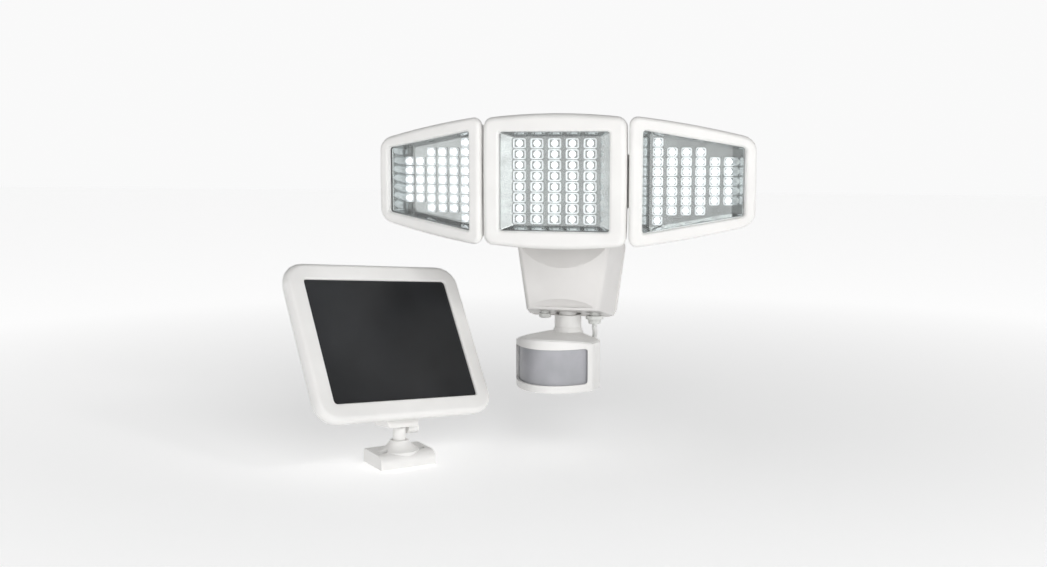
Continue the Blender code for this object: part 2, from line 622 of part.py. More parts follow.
def make_sensor(swivel, tilt):
    """Ball, housings, lens, board and controls. Heights are measured from the wall plate's middle."""
    up = -SENSOR_BALL_Z
    wall = SHELL_WALL
    ball_piece = ball("swivel_ball", 7.6, (0.0, 0.0, 0.0), "black_plastic", swivel)
    add(ball_piece, cylinder("ball_stalk", 4.6, 2.0, NECK_BOTTOM + up + 3.4, (0.0, 0.0), "Z",
                             parent=swivel, tool=True, sides=20))

    seam = SENSOR_SEAM + 6.0
    front = prism("sensor_front", nose_plan(SENSOR_HALF, SENSOR_NOSE, seam - GAP), SENSOR_BOTTOM + up,
                  SENSOR_TOP + up, "white_plastic", tilt)
    cut(front, prism("front_hollow", nose_plan(SENSOR_HALF - wall, SENSOR_NOSE - wall, seam + 4.0),
                     SENSOR_BOTTOM + up + wall, SENSOR_TOP + up - wall, parent=tilt, tool=True))
    cut(front, box("lens_window", (-LENS_HALF, -90.0, LENS_BOTTOM + up), (LENS_HALF, SENSOR_SEAM - 2.0, LENS_TOP + up),
                   parent=tilt, tool=True))

    inset = wall + GAP
    lens = prism("sensor_lens", nose_plan(SENSOR_HALF - inset, SENSOR_NOSE - inset, SENSOR_SEAM + 1.0),
                 LENS_BOTTOM + up - 3.0, LENS_TOP + up + 1.5, "lens", tilt)
    cut(lens, prism("lens_hollow", nose_plan(SENSOR_HALF - inset - 1.0, SENSOR_NOSE - inset - 1.0, SENSOR_SEAM + 4.0),
                    LENS_BOTTOM + up - 5.0, LENS_TOP + up + 4.0, parent=tilt, tool=True))

    def plan(shrink):
        return [
            (-SENSOR_HALF + shrink, seam), (SENSOR_HALF - shrink, seam),
            (SENSOR_HALF - shrink, SENSOR_SIDE_BACK), (SENSOR_BACK_HALF - shrink, SENSOR_BACK - shrink),
            (-SENSOR_BACK_HALF + shrink, SENSOR_BACK - shrink), (-SENSOR_HALF + shrink, SENSOR_SIDE_BACK)]

    top = SENSOR_TOP + up
    roof = [(x * 0.42, y * 0.42 - 2.0) for x, y in plan(0.0)]
    outside = [
        [(x, y, SENSOR_BOTTOM + up) for x, y in plan(0.0)],
        [(x, y, top) for x, y in plan(0.0)],
        [(x, y, top + 4.6) for x, y in roof]]
    rear = loft("sensor_rear", outside, "white_plastic", tilt)
    hollow = [(x, y if index > 1 else y - 5.0) for index, (x, y) in enumerate(plan(wall))]
    cut(rear, loft("rear_hollow", [
        [(x, y, SENSOR_BOTTOM + up + wall) for x, y in hollow],
        [(x, y, top - wall + 1.0) for x, y in hollow]], None, tilt, tool=True))
    cut(rear, ball("ball_socket", 8.0, (0.0, 0.0, 0.0), parent=tilt, tool=True))
    cut(rear, cylinder("socket_mouth", 6.4, 0.0, 12.0, (0.0, 0.0), "Z", parent=tilt, tool=True, sides=20, tip=9.4))

    board = box("sensor_board", (-26.0, -16.0, SENSOR_BOTTOM + up + 8.0), (26.0, -14.4, top - 8.0),
                "green_board", tilt)
    add(board, box("sensor_chip", (8.0, -17.5, SENSOR_BOTTOM + up + 11.0), (17.0, -15.0, SENSOR_BOTTOM + up + 17.0),
                   parent=tilt, tool=True))
    cylinder("infrared_detector", 4.6, -20.8, -16.3, (0.0, (SENSOR_BOTTOM + SENSOR_TOP) / 2 + up), "Y", "steel",
             tilt, sides=16)

    floor = SENSOR_BOTTOM + up
    for tag, x in (("time_knob", -16.0), ("range_knob", 0.0)):
        cut(rear, cylinder(tag + "_hole", 2.2, floor - 1.0, floor + wall + 1.0, (x, -8.0), "Z",
                           parent=tilt, tool=True, sides=16))
        axis = pivot(tag + "_pivot", (x, -8.0, floor), parent=tilt)
        knob = cylinder(tag, 5.0, -4.2, -GAP, (0.0, 0.0), "Z", "black_plastic", axis, sides=20)
        add(knob, cylinder(tag + "_shaft", 1.8, -1.0, 4.5, (0.0, 0.0), "Z", parent=axis, tool=True, sides=16))
        cut(knob, box(tag + "_slot", (-0.6, -6.0, -5.0), (0.6, 6.0, -3.2), parent=axis, tool=True))
    cut(rear, box("switch_slot", (10.4, -9.7, floor - 1.0), (20.6, -6.3, floor + wall + 1.0), parent=tilt, tool=True))
    slide = pivot("mode_switch_pivot", (15.5, -8.0, floor), parent=tilt)
    switch = box("mode_switch", (-1.8, -1.3, -2.6), (1.8, 1.3, 3.0), "black_plastic", slide)
    add(switch, box("switch_foot", (-3.2, -2.6, wall + GAP), (3.2, 2.6, 3.9), parent=slide, tool=True))

    inlet = cylinder("sensor_inlet", 4.0, SENSOR_BACK + GAP, SENSOR_BACK + 3.6, (INLET_X, LEAD_END_Z + up), "Y",
                     "grey_plastic", tilt, sides=16)
    return inlet


INLET_X = 6.0
LEAD_END_Z = -79.0


def make_lead(gland_bottom):
    """The lead from the gland to the back of the sensor, as one smooth tube."""
    turn = Matrix.Rotation(math.radians(SENSOR_TURN), 4, "Z")
    neck = Vector((*NECK_AT, 0.0))
    end = neck + turn @ Vector((INLET_X, SENSOR_BACK + 3.6 + GAP, LEAD_END_Z))
    before_end = neck + turn @ Vector((INLET_X, SENSOR_BACK + 5.6, LEAD_END_Z))
    bend_end = neck + turn @ Vector((INLET_X, SENSOR_BACK + 8.6, LEAD_END_Z - 0.6))
    x, y = GLAND_AT
    route = [
        Vector((x, y, gland_bottom - GAP)), Vector((x, y, gland_bottom - 2.0)), Vector((x, y, gland_bottom - 4.0)),
        Vector((24.4, -34.6, -49.8)), Vector((21.2, -23.4, -57.0)),
        Vector((16.4, -11.9, -65.0)), Vector((13.1, -6.1, -74.0)), Vector((12.0, -8.0, -80.6)),
        bend_end, before_end, end]
    points = smooth_route(route, 5)
    data = bpy.data.curves.new("sensor_lead", "CURVE")
    data.dimensions = "3D"
    data.bevel_depth = LEAD_RADIUS * MM
    data.bevel_resolution = 2
    data.use_fill_caps = True
    line = data.splines.new("POLY")
    line.points.add(len(points) - 1)
    for spot, point in zip(line.points, points):
        spot.co = (*(point * MM), 1.0)
    lead = bpy.data.objects.new("sensor_lead", data)
    PARTS.objects.link(lead)
    data.materials.append(material("black_plastic"))


def smooth_route(route, steps):
    """Points on a Catmull-Rom curve through the route."""
    points = [route[0]]
    for i in range(len(route) - 1):
        before = route[max(i - 1, 0)]
        start = route[i]
        finish = route[i + 1]
        after = route[min(i + 2, len(route) - 1)]
        for k in range(1, steps + 1):
            t = k / steps
            points.append(0.5 * (
                2 * start + (finish - before) * t
                + (2 * before - 5 * start + 4 * finish - after) * t ** 2
                + (3 * start - before - 3 * finish + after) * t ** 3))
    return points


# ---------------------------------------------------------------- solar panel

def rectangle(width, height, radius, steps=3):
    x = width / 2
    z = height / 2
    return rounded(((-x, z), (x, z), (x, -z), (-x, -z)), (radius,) * 4, (0.0,) * 4, arc_steps=steps, edge_steps=2)


def make_panel(tilt):
    """Bezel, glass, cell sheet, rear cover and the ball clamp, all in the ball's frame."""
    outer = rectangle(PANEL_WIDTH, PANEL_HEIGHT, 20.0)
    window = rectangle(GLASS_WIDTH, GLASS_HEIGHT, 3.0)
    def ring_at(share, depth):
        return [(x, y + PANEL_FACE, z + PANEL_RISE) for x, y, z in at_depth(mixed(outer, window, share), depth)]

    bezel = (
        (0.03, PANEL_BEZEL_DEPTH), (0.0, 6.0), (0.10, 2.0), (0.35, 0.0), (0.88, 0.0), (1.0, 0.8), (1.0, 2.2),
        (0.80, 2.2), (0.80, 6.6), (0.20, 6.6), (0.16, PANEL_BEZEL_DEPTH))
    loft("panel_bezel", [ring_at(*row) for row in bezel], "white_plastic", tilt, ring=True)
    loft("panel_glass", [ring_at(0.84, 2.2 + GAP), ring_at(0.84, 4.8)], "panel_glass", tilt)
    loft("solar_cells", [ring_at(0.88, 4.8 + GAP), ring_at(0.88, 6.4)], "solar_cell", tilt)
    back = PANEL_BEZEL_DEPTH + GAP
    rear = loft("panel_rear_cover", [
        ring_at(0.24, 8.6), ring_at(0.24, back), ring_at(0.03, back), ring_at(0.10, PANEL_DEPTH - 1.5),
        ring_at(0.20, PANEL_DEPTH)], "white_plastic", tilt)
    hollow = [ring_at(0.34, 7.0), ring_at(0.34, PANEL_DEPTH - 2.0)]
    cut(rear, loft("panel_hollow", hollow, None, tilt, tool=True))

    front = PANEL_FACE + PANEL_DEPTH + GAP
    boss_plan = rounded(((-20.0, 12.0), (20.0, 12.0), (20.0, -10.5), (-20.0, -10.5)), (7, 7, 9, 9), (0.0,) * 4)
    boss = loft("ball_clamp", [at_depth(boss_plan, front), at_depth(boss_plan, 9.5),
                               at_depth([point * 0.8 for point in boss_plan], 12.0)], "white_plastic", tilt)
    cut(boss, ball("clamp_pocket", BALL_RADIUS + 0.4, (0.0, 0.0, 0.0), parent=tilt, tool=True))
    slot = STEM_NECK_RADIUS + 1.9
    cut(boss, box("clamp_slot", (-slot, -slot, -30.0), (slot, 30.0, slot), parent=tilt, tool=True))
    cut(boss, cylinder("clamp_screw_hole", 1.9, 8.0, 18.0, (2.6, -5.0), "X", parent=tilt, tool=True, sides=12))
    cut(boss, cylinder("clamp_screw_pit", 3.6, 15.0, 30.0, (2.6, -5.0), "X", parent=tilt, tool=True, sides=16))
    screw = cylinder("clamp_screw", 1.5, 9.0, 15.4, (2.6, -5.0), "X", "steel", tilt, sides=12)
    add(screw, cylinder("clamp_screw_head", 3.0, 15.4, 17.4, (2.6, -5.0), "X", parent=tilt, tool=True, sides=12))

    place = (48.0, PANEL_FACE + PANEL_DEPTH + GAP, 30.0)
    cylinder("panel_cable_gland", 6.0, place[1], place[1] + 9.0, (place[0], place[2]), "Y", "grey_plastic",
             tilt, sides=16, tip=4.2)


def make_stand(swivel):
    """The stem with its ball turns in the base; the base is screwed down."""
    x, y, z = BALL_AT
    foot = BASE_BOTTOM + BASE_HEIGHT
    low = foot - z + 2.0
    stem = turned("panel_stem", ((0.0, -4.0), (STEM_NECK_RADIUS, -4.0), (STEM_NECK_RADIUS, -STEM_NECK_LENGTH),
                                 (STEM_RADIUS, -STEM_NECK_LENGTH - 1.6), (STEM_RADIUS, low), (0.0, low)),
                  (0.0, 0.0, 0.0), "white_plastic", swivel, sides=20)
    add(stem, ball("stem_ball", BALL_RADIUS, (0.0, 0.0, 0.0), parent=swivel, tool=True))

    base_frame = pivot("base_frame", (x, y, BASE_BOTTOM), (0.0, 0.0, BASE_TURN))
    half = BASE_WIDTH / 2
    front = (
        (-half, 0.0), (-half, BASE_HEIGHT - 5.0), (-half + 1.6, BASE_HEIGHT - 1.6), (-half + 5.0, BASE_HEIGHT),
        (half - 3.0, BASE_HEIGHT), (half, BASE_HEIGHT - 3.0), (half, 0.0))
    ends = [[(side * BASE_LENGTH / 2, py, pz) for py, pz in front] for side in (-1, 1)]
    block = loft("panel_base", ends, "white_plastic", base_frame)
    add(block, cylinder("base_cone", 16.5, BASE_HEIGHT - 1.0, BASE_HEIGHT + 8.4, (0.0, 0.0), "Z",
                        parent=base_frame, tool=True, sides=20, tip=7.2))
    cut(block, cylinder("stem_bore", STEM_RADIUS + GAP, 1.7 + BASE_HEIGHT, BASE_HEIGHT + 12.0, (0.0, 0.0), "Z",
                        parent=base_frame, tool=True, sides=24))
    for side in (-1, 1):
        spot = (side * BASE_SCREW_SPAN / 2, -4.0)
        cut(block, cylinder("base_hole", 2.2, -1.0, BASE_HEIGHT + 1.0, spot, "Z", parent=base_frame,
                            tool=True, sides=16))
        cut(block, cylinder("base_pit", 4.2, BASE_HEIGHT - 5.0, BASE_HEIGHT + 3.0, spot, "Z", parent=base_frame,
                            tool=True, sides=16))


# ---------------------------------------------------------------- build

clear_scene()
PARTS = make_collection("solar_flood_light")
TOOLS = make_collection("cutters")

make_wall_plate()
body_shell, _ = make_body()
make_insides()
gland_end = make_underside(body_shell)
make_tilt_bracket()

head_tilt = pivot("head_tilt_pivot", TILT_AXIS)
make_tilt_yoke(head_tilt)
centre = make_centre_head(head_tilt)
make_wing("left", -1.0, centre)
make_wing("right", 1.0, centre)

sensor_swivel = pivot("sensor_swivel_pivot", (*NECK_AT, SENSOR_BALL_Z), (0.0, 0.0, SENSOR_TURN))
sensor_tilt = pivot("sensor_tilt_pivot", (0.0, 0.0, 0.0), parent=sensor_swivel)
make_sensor(sensor_swivel, sensor_tilt)
make_lead(gland_end)

panel_swivel = pivot("panel_swivel_pivot", BALL_AT, (0.0, 0.0, PANEL_TURN))
panel_tilt = pivot("panel_tilt_pivot", (0.0, 0.0, 0.0), parent=panel_swivel)
panel_tilt.rotation_euler = (
    Matrix.Rotation(math.radians(-PANEL_LEAN), 4, "X") @ Matrix.Rotation(math.radians(PANEL_ROLL), 4, "Y")).to_euler()
make_panel(panel_tilt)
make_stand(panel_swivel)
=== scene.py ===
"""Looks of a solar flood light: three LED heads on a battery body with a motion sensor, and a solar panel.

Sizes are in millimetres and are turned to metres as each shape is made. +Y is towards the wall and +Z is up.
"""

import math

import bmesh
import bpy
from mathutils import Matrix, Vector


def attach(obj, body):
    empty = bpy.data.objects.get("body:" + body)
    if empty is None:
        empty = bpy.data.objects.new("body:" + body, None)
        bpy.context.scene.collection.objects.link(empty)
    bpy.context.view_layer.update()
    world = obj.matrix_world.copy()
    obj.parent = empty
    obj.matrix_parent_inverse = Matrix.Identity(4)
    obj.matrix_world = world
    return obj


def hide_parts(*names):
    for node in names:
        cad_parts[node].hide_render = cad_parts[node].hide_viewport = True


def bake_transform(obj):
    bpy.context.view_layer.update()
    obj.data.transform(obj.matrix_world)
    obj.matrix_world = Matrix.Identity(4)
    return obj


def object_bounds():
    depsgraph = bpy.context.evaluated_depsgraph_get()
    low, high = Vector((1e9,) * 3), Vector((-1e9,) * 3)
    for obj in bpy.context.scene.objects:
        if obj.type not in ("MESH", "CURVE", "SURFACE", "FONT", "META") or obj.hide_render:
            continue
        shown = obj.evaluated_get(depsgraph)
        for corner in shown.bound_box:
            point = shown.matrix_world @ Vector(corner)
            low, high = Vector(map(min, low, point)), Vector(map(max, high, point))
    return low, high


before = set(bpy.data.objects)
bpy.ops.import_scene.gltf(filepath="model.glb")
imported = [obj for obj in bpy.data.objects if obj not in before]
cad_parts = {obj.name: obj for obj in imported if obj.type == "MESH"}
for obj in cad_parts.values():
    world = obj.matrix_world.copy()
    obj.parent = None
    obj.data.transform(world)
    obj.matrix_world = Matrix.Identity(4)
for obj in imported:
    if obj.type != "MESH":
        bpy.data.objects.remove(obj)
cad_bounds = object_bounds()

MM = 0.001
DEG = math.radians(1)


# ---------------------------------------------------------------- camera and stage

CAMERA_AT = (0.2036, -1.0665, 0.1136)
CAMERA_TILT = 83.5
CAMERA_TURN = 13.3
FOCAL_LENGTH = 41.26
FILM_WIDTH = 36.0


def point_camera():
    data = bpy.data.cameras.new("camera")
    data.lens = FOCAL_LENGTH
    data.sensor_width = FILM_WIDTH
    data.clip_start = 0.05
    data.clip_end = 50.0
    camera = bpy.data.objects.new("camera", data)
    bpy.context.scene.collection.objects.link(camera)
    camera.location = CAMERA_AT
    camera.rotation_euler = (CAMERA_TILT * DEG, 0.0, CAMERA_TURN * DEG)
    bpy.context.scene.camera = camera


point_camera()


# ---------------------------------------------------------------- materials

def linear(code):
    """An sRGB hex colour as linear red, green, blue and alpha."""
    parts = [int(code[i:i + 2], 16) / 255 for i in (1, 3, 5)]
    return (*[p / 12.92 if p <= 0.04045 else ((p + 0.055) / 1.055) ** 2.4 for p in parts], 1.0)


def new_material(name, colour, roughness, **inputs):
    made = bpy.data.materials.new(name)
    made.use_nodes = True
    shader = made.node_tree.nodes["Principled BSDF"]
    shader.inputs["Base Color"].default_value = linear(colour)
    shader.inputs["Roughness"].default_value = roughness
    for socket, value in inputs.items():
        shader.inputs[socket.replace("_", " ")].default_value = value
    return made


def add_node(look, kind, links=(), **settings):
    """Adds a node to a material or a world.

    settings are properties or sockets (spaces as _), and links are (socket, from node, output).
    """
    made = look.node_tree.nodes.new(kind)
    for key, value in settings.items():
        if hasattr(made, key):
            setattr(made, key, value)
        else:
            made.inputs[key.replace("_", " ")].default_value = value
    for socket, source, output in links:
        look.node_tree.links.new(source.outputs[output], made.inputs[socket])
    return made


def link(look, source, output, socket):
    look.node_tree.links.new(source.outputs[output], look.node_tree.nodes["Principled BSDF"].inputs[socket])


def noise_of(look, coords, size, detail):
    """Noise with patches of a size in millimetres."""
    return add_node(look, "ShaderNodeTexNoise", [("Vector", coords, "Object")], Scale=1 / (size * MM),
                    Detail=detail)


def mottle(look, coords, size, dark, light):
    """Colour that drifts between two shades over patches of a size in millimetres."""
    noise = noise_of(look, coords, size, 3.0)
    ramp = add_node(look, "ShaderNodeValToRGB", [("Fac", noise, "Fac")])
    ramp.color_ramp.elements[0].position = 0.35
    ramp.color_ramp.elements[1].position = 0.65
    ramp.color_ramp.elements[0].color = linear(dark)
    ramp.color_ramp.elements[1].color = linear(light)
    link(look, ramp, "Color", "Base Color")


def grain(look, coords, size, depth, strength):
    """Fine relief: grains of a size in millimetres, and a depth in millimetres."""
    noise = noise_of(look, coords, size, 2.0)
    bump = add_node(look, "ShaderNodeBump", [("Height", noise, "Fac")], Strength=strength, Distance=depth * MM)
    link(look, bump, "Normal", "Normal")


def roughen(look, coords, size, low, high):
    """Gloss that varies a little over patches of a size in millimetres."""
    noise = noise_of(look, coords, size, 4.0)
    spread = add_node(look, "ShaderNodeMapRange", [("Value", noise, "Fac")], To_Min=low, To_Max=high)
    link(look, spread, "Result", "Roughness")


def plastic(name, dark, light, rough, grit=1.0, depth=0.03, strength=0.25, **inputs):
    look = new_material(name, light, rough[0], **inputs)
    coords = add_node(look, "ShaderNodeTexCoord")
    mottle(look, coords, 45.0, dark, light)
    grain(look, coords, grit, depth, strength)
    roughen(look, coords, 20.0, *rough)
    return look


# White ABS, injection moulded in a spark-eroded tool: a soft satin gloss over a very fine grain. The grain is
# 0.3 mm on the real shell and is drawn at 1.1 mm so that it shows.
WHITE_ABS = plastic("moulded_white_ABS", "#e9e8e6", "#efeeec", (0.34, 0.46), 1.1, 0.02, 0.18, IOR=1.53)
# The battery body is the heads' white ABS, drawn a shade greyer than theirs as painted shade.
SHADED_BODY_ABS = plastic("moulded_grey_white_ABS", "#dbd9d7", "#e2e0de", (0.3, 0.42), 1.1, 0.02, 0.18, IOR=1.53)
# The same ABS from a smoother tool, for the parts that hang under the body: a little glossier and cooler.
PALE_ABS = plastic("moulded_pale_grey_ABS", "#d4d5d2", "#dddedb", (0.3, 0.42), 1.1, 0.02, 0.15, IOR=1.53)
# Grey glass-filled nylon of the bracket and wall plate: duller, with flow marks.
GREY_NYLON = plastic("moulded_grey_nylon", "#b9bab8", "#c4c5c3", (0.45, 0.6), 1.4, 0.05, 0.35, IOR=1.53)
# Black acetal of the small controls: smooth, with a low sheen.
BLACK_ACETAL = plastic("moulded_black_acetal", "#1b1b1d", "#222225", (0.36, 0.5), 0.9, 0.02, 0.25, IOR=1.48)
# Black EPDM seal, extruded: dull, with a slight bloom.
EPDM = plastic("extruded_black_EPDM", "#1c1d1d", "#272828", (0.62, 0.8), 0.8, 0.05, 0.4, IOR=1.52)
# White PVC jacket of the lead, extruded over its wires: soft gloss, faintly wavy along its length.
PVC = plastic("extruded_white_PVC", "#dcdddb", "#e6e7e5", (0.32, 0.42), 3.0, 0.08, 0.3, IOR=1.52)


def vacuum_chrome():
    """Polycarbonate mirrored with evaporated aluminium: bright, and a little wavy where the moulding sank."""
    look = new_material("vacuum_metallised_polycarbonate", "#b4b9b8", 0.06, Metallic=1.0)
    coords = add_node(look, "ShaderNodeTexCoord")
    mottle(look, coords, 14.0, "#979b9a", "#a8adac")
    grain(look, coords, 9.0, 0.06, 0.25)
    roughen(look, coords, 9.0, 0.03, 0.08)
    return look


def led_epoxy():
    """Epoxy cast over a white die cup: the dome glows evenly and keeps a hard glint."""
    look = new_material("cast_LED_epoxy", "#f6f9f8", 0.12, IOR=1.55, Emission_Strength=0.75)
    look.node_tree.nodes["Principled BSDF"].inputs["Emission Color"].default_value = linear("#f7fbff")
    coords = add_node(look, "ShaderNodeTexCoord")
    mottle(look, coords, 11.0, "#eef4f2", "#fbfcff")
    return look


def clear_sheet():
    """Cast acrylic sheet: nearly clear, with a faint surface film that catches the light."""
    look = new_material("cast_clear_acrylic", "#f4f7f7", 0.06, IOR=1.49, Alpha=0.07)
    coords = add_node(look, "ShaderNodeTexCoord")
    roughen(look, coords, 30.0, 0.03, 0.1)
    return look


FACET_ROW = 7.0
# The wave texture repeats every 0.314 units at a scale of one.
WAVE_SHARE = 0.314


def sensor_lens_look():
    """Milky pressed polyethylene: the grey inside shows through, and rows of facets ripple the gloss."""
    look = new_material("pressed_milky_polyethylene", "#a9a9ad", 0.34, IOR=1.5)
    coords = add_node(look, "ShaderNodeTexCoord")
    mottle(look, coords, 26.0, "#a3a4a8", "#afafb4")
    rows = add_node(look, "ShaderNodeTexWave", [("Vector", coords, "Object")], bands_direction="Z",
                    Scale=WAVE_SHARE / (FACET_ROW * MM), Distortion=0.0)
    bump = add_node(look, "ShaderNodeBump", [("Height", rows, "Fac")], Strength=0.12, Distance=0.15 * MM)
    link(look, bump, "Normal", "Normal")
    return look


def solar_glass():
    """Tempered glass with a fine etched face over black cells: dark, softly reflecting, never mirror-bright."""
    look = new_material("etched_tempered_glass", "#1d1e20", 0.3, IOR=1.52)
    coords = add_node(look, "ShaderNodeTexCoord")
    mottle(look, coords, 60.0, "#1a1b1d", "#232427")
    grain(look, coords, 1.2, 0.02, 0.2)
    roughen(look, coords, 40.0, 0.26, 0.36)
    return look


def steel(name, colour, rough):
    look = new_material(name, colour, rough, Metallic=1.0)
    coords = add_node(look, "ShaderNodeTexCoord")
    grain(look, coords, 0.8, 0.02, 0.3)
    roughen(look, coords, 5.0, rough - 0.06, rough + 0.08)
    return look


CHROME = vacuum_chrome()
EPOXY = led_epoxy()
# White reflective PBT of the LED trays: glossy, with a faint glow painted on it as light from the dome.
TRAY = plastic("moulded_reflective_PBT", "#dfe3e3", "#e9eded", (0.22, 0.34), 1.2, 0.03, 0.3,
               Emission_Strength=0.1)
TRAY.node_tree.nodes["Principled BSDF"].inputs["Emission Color"].default_value = linear("#f4f8ff")
ACRYLIC = clear_sheet()
LENS = sensor_lens_look()
GLASS = solar_glass()
# Stainless screws and pins: cold-headed, bright with a fine drawn grain.
STAINLESS = steel("drawn_stainless_steel", "#c3c4c4", 0.28)
# Green solder mask printed over glass-fibre laminate.
SOLDER_MASK = plastic("screen_printed_solder_mask", "#1a5a35", "#217043", (0.3, 0.45), 1.6, 0.04, 0.5)
# White solder mask on the LED boards.
WHITE_MASK = plastic("white_solder_mask", "#d5d8d6", "#e2e4e2", (0.35, 0.5), 1.6, 0.04, 0.4)
# Shrunk PVC sleeve of the cells.
SLEEVE = plastic("shrunk_green_PVC_sleeve", "#2c7a4c", "#348a57", (0.2, 0.34), 6.0, 0.1, 0.3)
# Doped silicon: blue-black.
SILICON = plastic("etched_silicon", "#0b0d14", "#12151f", (0.25, 0.4), 2.0, 0.02, 0.3)


# ---------------------------------------------------------------- modelling by hand, in steps

def only(piece):
    """Selects one object and makes it the active one."""
    bpy.ops.object.select_all(action="DESELECT")
    piece.select_set(True)
    bpy.context.view_layer.objects.active = piece


def everything():
    bpy.ops.mesh.select_all(action="SELECT")


def start(name, primitive, **shape):
    """Adds a primitive on its own, puts its place in its mesh and opens it for editing."""
    bpy.ops.object.select_all(action="DESELECT")
    primitive(**shape)
    piece = bpy.context.object
    piece.name = name
    piece.data.name = name
    bpy.ops.object.transform_apply(location=True, rotation=True, scale=True)
    edit(piece)
    return piece


def edit(piece):
    only(piece)
    bpy.ops.object.mode_set(mode="EDIT")
    bpy.ops.mesh.select_all(action="DESELECT")


def done(piece=None):
    if bpy.context.object and bpy.context.object.mode == "EDIT":
        bpy.ops.object.mode_set(mode="OBJECT")
    return piece


def pick(piece, kind, wanted):
    """Selects the vertices, edges or faces that wanted says yes to."""
    bpy.ops.mesh.select_mode(type=kind)
    bpy.ops.mesh.select_all(action="DESELECT")
    mesh = bmesh.from_edit_mesh(piece.data)
    mesh.normal_update()
    for part in getattr(mesh, {"VERT": "verts", "EDGE": "edges", "FACE": "faces"}[kind]):
        if wanted(part):
            part.select_set(True)
    mesh.select_flush_mode()
    bmesh.update_edit_mesh(piece.data)


def near(place, reach=0.05):
    """Whether a vertex is at a place in millimetres."""
    spot = Vector(place) * MM
    return lambda vert: (vert.co - spot).length < reach * MM


def slide(move):
    bpy.ops.transform.translate(value=Vector(move) * MM)


def push(move, reach):
    """Moves the picked vertices, and takes those round them along in a smooth bow."""
    bpy.ops.transform.translate(value=Vector(move) * MM, use_proportional_edit=True,
                                proportional_edit_falloff="INVERSE_SQUARE", proportional_size=reach * MM)


def resize(scale, centre):
    bpy.ops.transform.resize(value=scale, center_override=Vector(centre) * MM)


def extrude(move, scale=None, centre=(0, 0, 0)):
    bpy.ops.mesh.extrude_region_move(TRANSFORM_OT_translate={"value": Vector(move) * MM})
    if scale:
        resize(scale, centre)


def extrude_rim(move, scale=None, centre=(0, 0, 0)):
    """Extrudes an open edge loop."""
    bpy.ops.mesh.extrude_edges_move(TRANSFORM_OT_translate={"value": Vector(move) * MM})
    if scale:
        resize(scale, centre)


def round_edges(width, steps):
    bpy.ops.mesh.bevel(offset=width * MM, offset_type="OFFSET", segments=steps, affect="EDGES",
                       clamp_overlap=True)


def outwards():
    """Merges doubles and turns every face outwards."""
    everything()
    bpy.ops.mesh.remove_doubles(threshold=0.00001)
    bpy.ops.mesh.normals_make_consistent(inside=False)


def clean(piece):
    """Does the same to a finished piece."""
    edit(piece)
    outwards()
    done()


def sharp(angle):
    """Picks the edges between faces that meet at more than an angle."""
    bpy.ops.mesh.select_mode(type="EDGE")
    bpy.ops.mesh.select_all(action="DESELECT")
    bpy.ops.mesh.edges_select_sharp(sharpness=angle * DEG)


def turn_edge(a, b):
    """An edge test: its faces' normals differ as a and b say."""
    return lambda edge: len(edge.link_faces) == 2 and (
        (a(edge.link_faces[0]) and b(edge.link_faces[1])) or (a(edge.link_faces[1]) and b(edge.link_faces[0])))


def apply(piece, kind, **settings):
    """Adds a modifier and applies it."""
    done()
    only(piece)
    bpy.ops.object.modifier_add(type=kind)
    step = piece.modifiers[-1]
    for key, value in settings.items():
        setattr(step, key, value)
    bpy.ops.object.modifier_apply(modifier=step.name)


def combine(piece, tool, how="DIFFERENCE"):
    """Cuts a tool out of a piece, or joins it to it, and throws the tool away."""
    apply(piece, "BOOLEAN", object=tool, operation=how, solver="EXACT")
    bpy.data.objects.remove(tool)


def join(pieces, name):
    done()
    bpy.ops.object.select_all(action="DESELECT")
    for piece in pieces:
        piece.select_set(True)
    bpy.context.view_layer.objects.active = pieces[0]
    if len(pieces) > 1:
        bpy.ops.object.join()
    pieces[0].name = name
    pieces[0].data.name = name
    return pieces[0]


def place(piece, matrix):
    """Puts a finished piece in its place, in its mesh."""
    done()
    only(piece)
    piece.matrix_world = matrix
    bpy.ops.object.transform_apply(location=True, rotation=True, scale=True)


def finish(piece, look, body, slot, *nodes, angle=32.0, weigh=True):
    """Smooths a piece, gives it its material and puts it on its body in place of its CAD nodes."""
    done()
    only(piece)
    bpy.ops.object.shade_smooth_by_angle(angle=angle * DEG)
    if weigh:
        apply(piece, "WEIGHTED_NORMAL", keep_sharp=True)
    if look:
        piece.data.materials.clear()
        piece.data.materials.append(look)
    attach(piece, body)
    if nodes:
        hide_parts(*nodes)
    return piece


def shift(x, y, z):
    return Matrix.Translation(Vector((x, y, z)) * MM)


def turn(angle, axis):
    return Matrix.Rotation(angle * DEG, 4, axis)


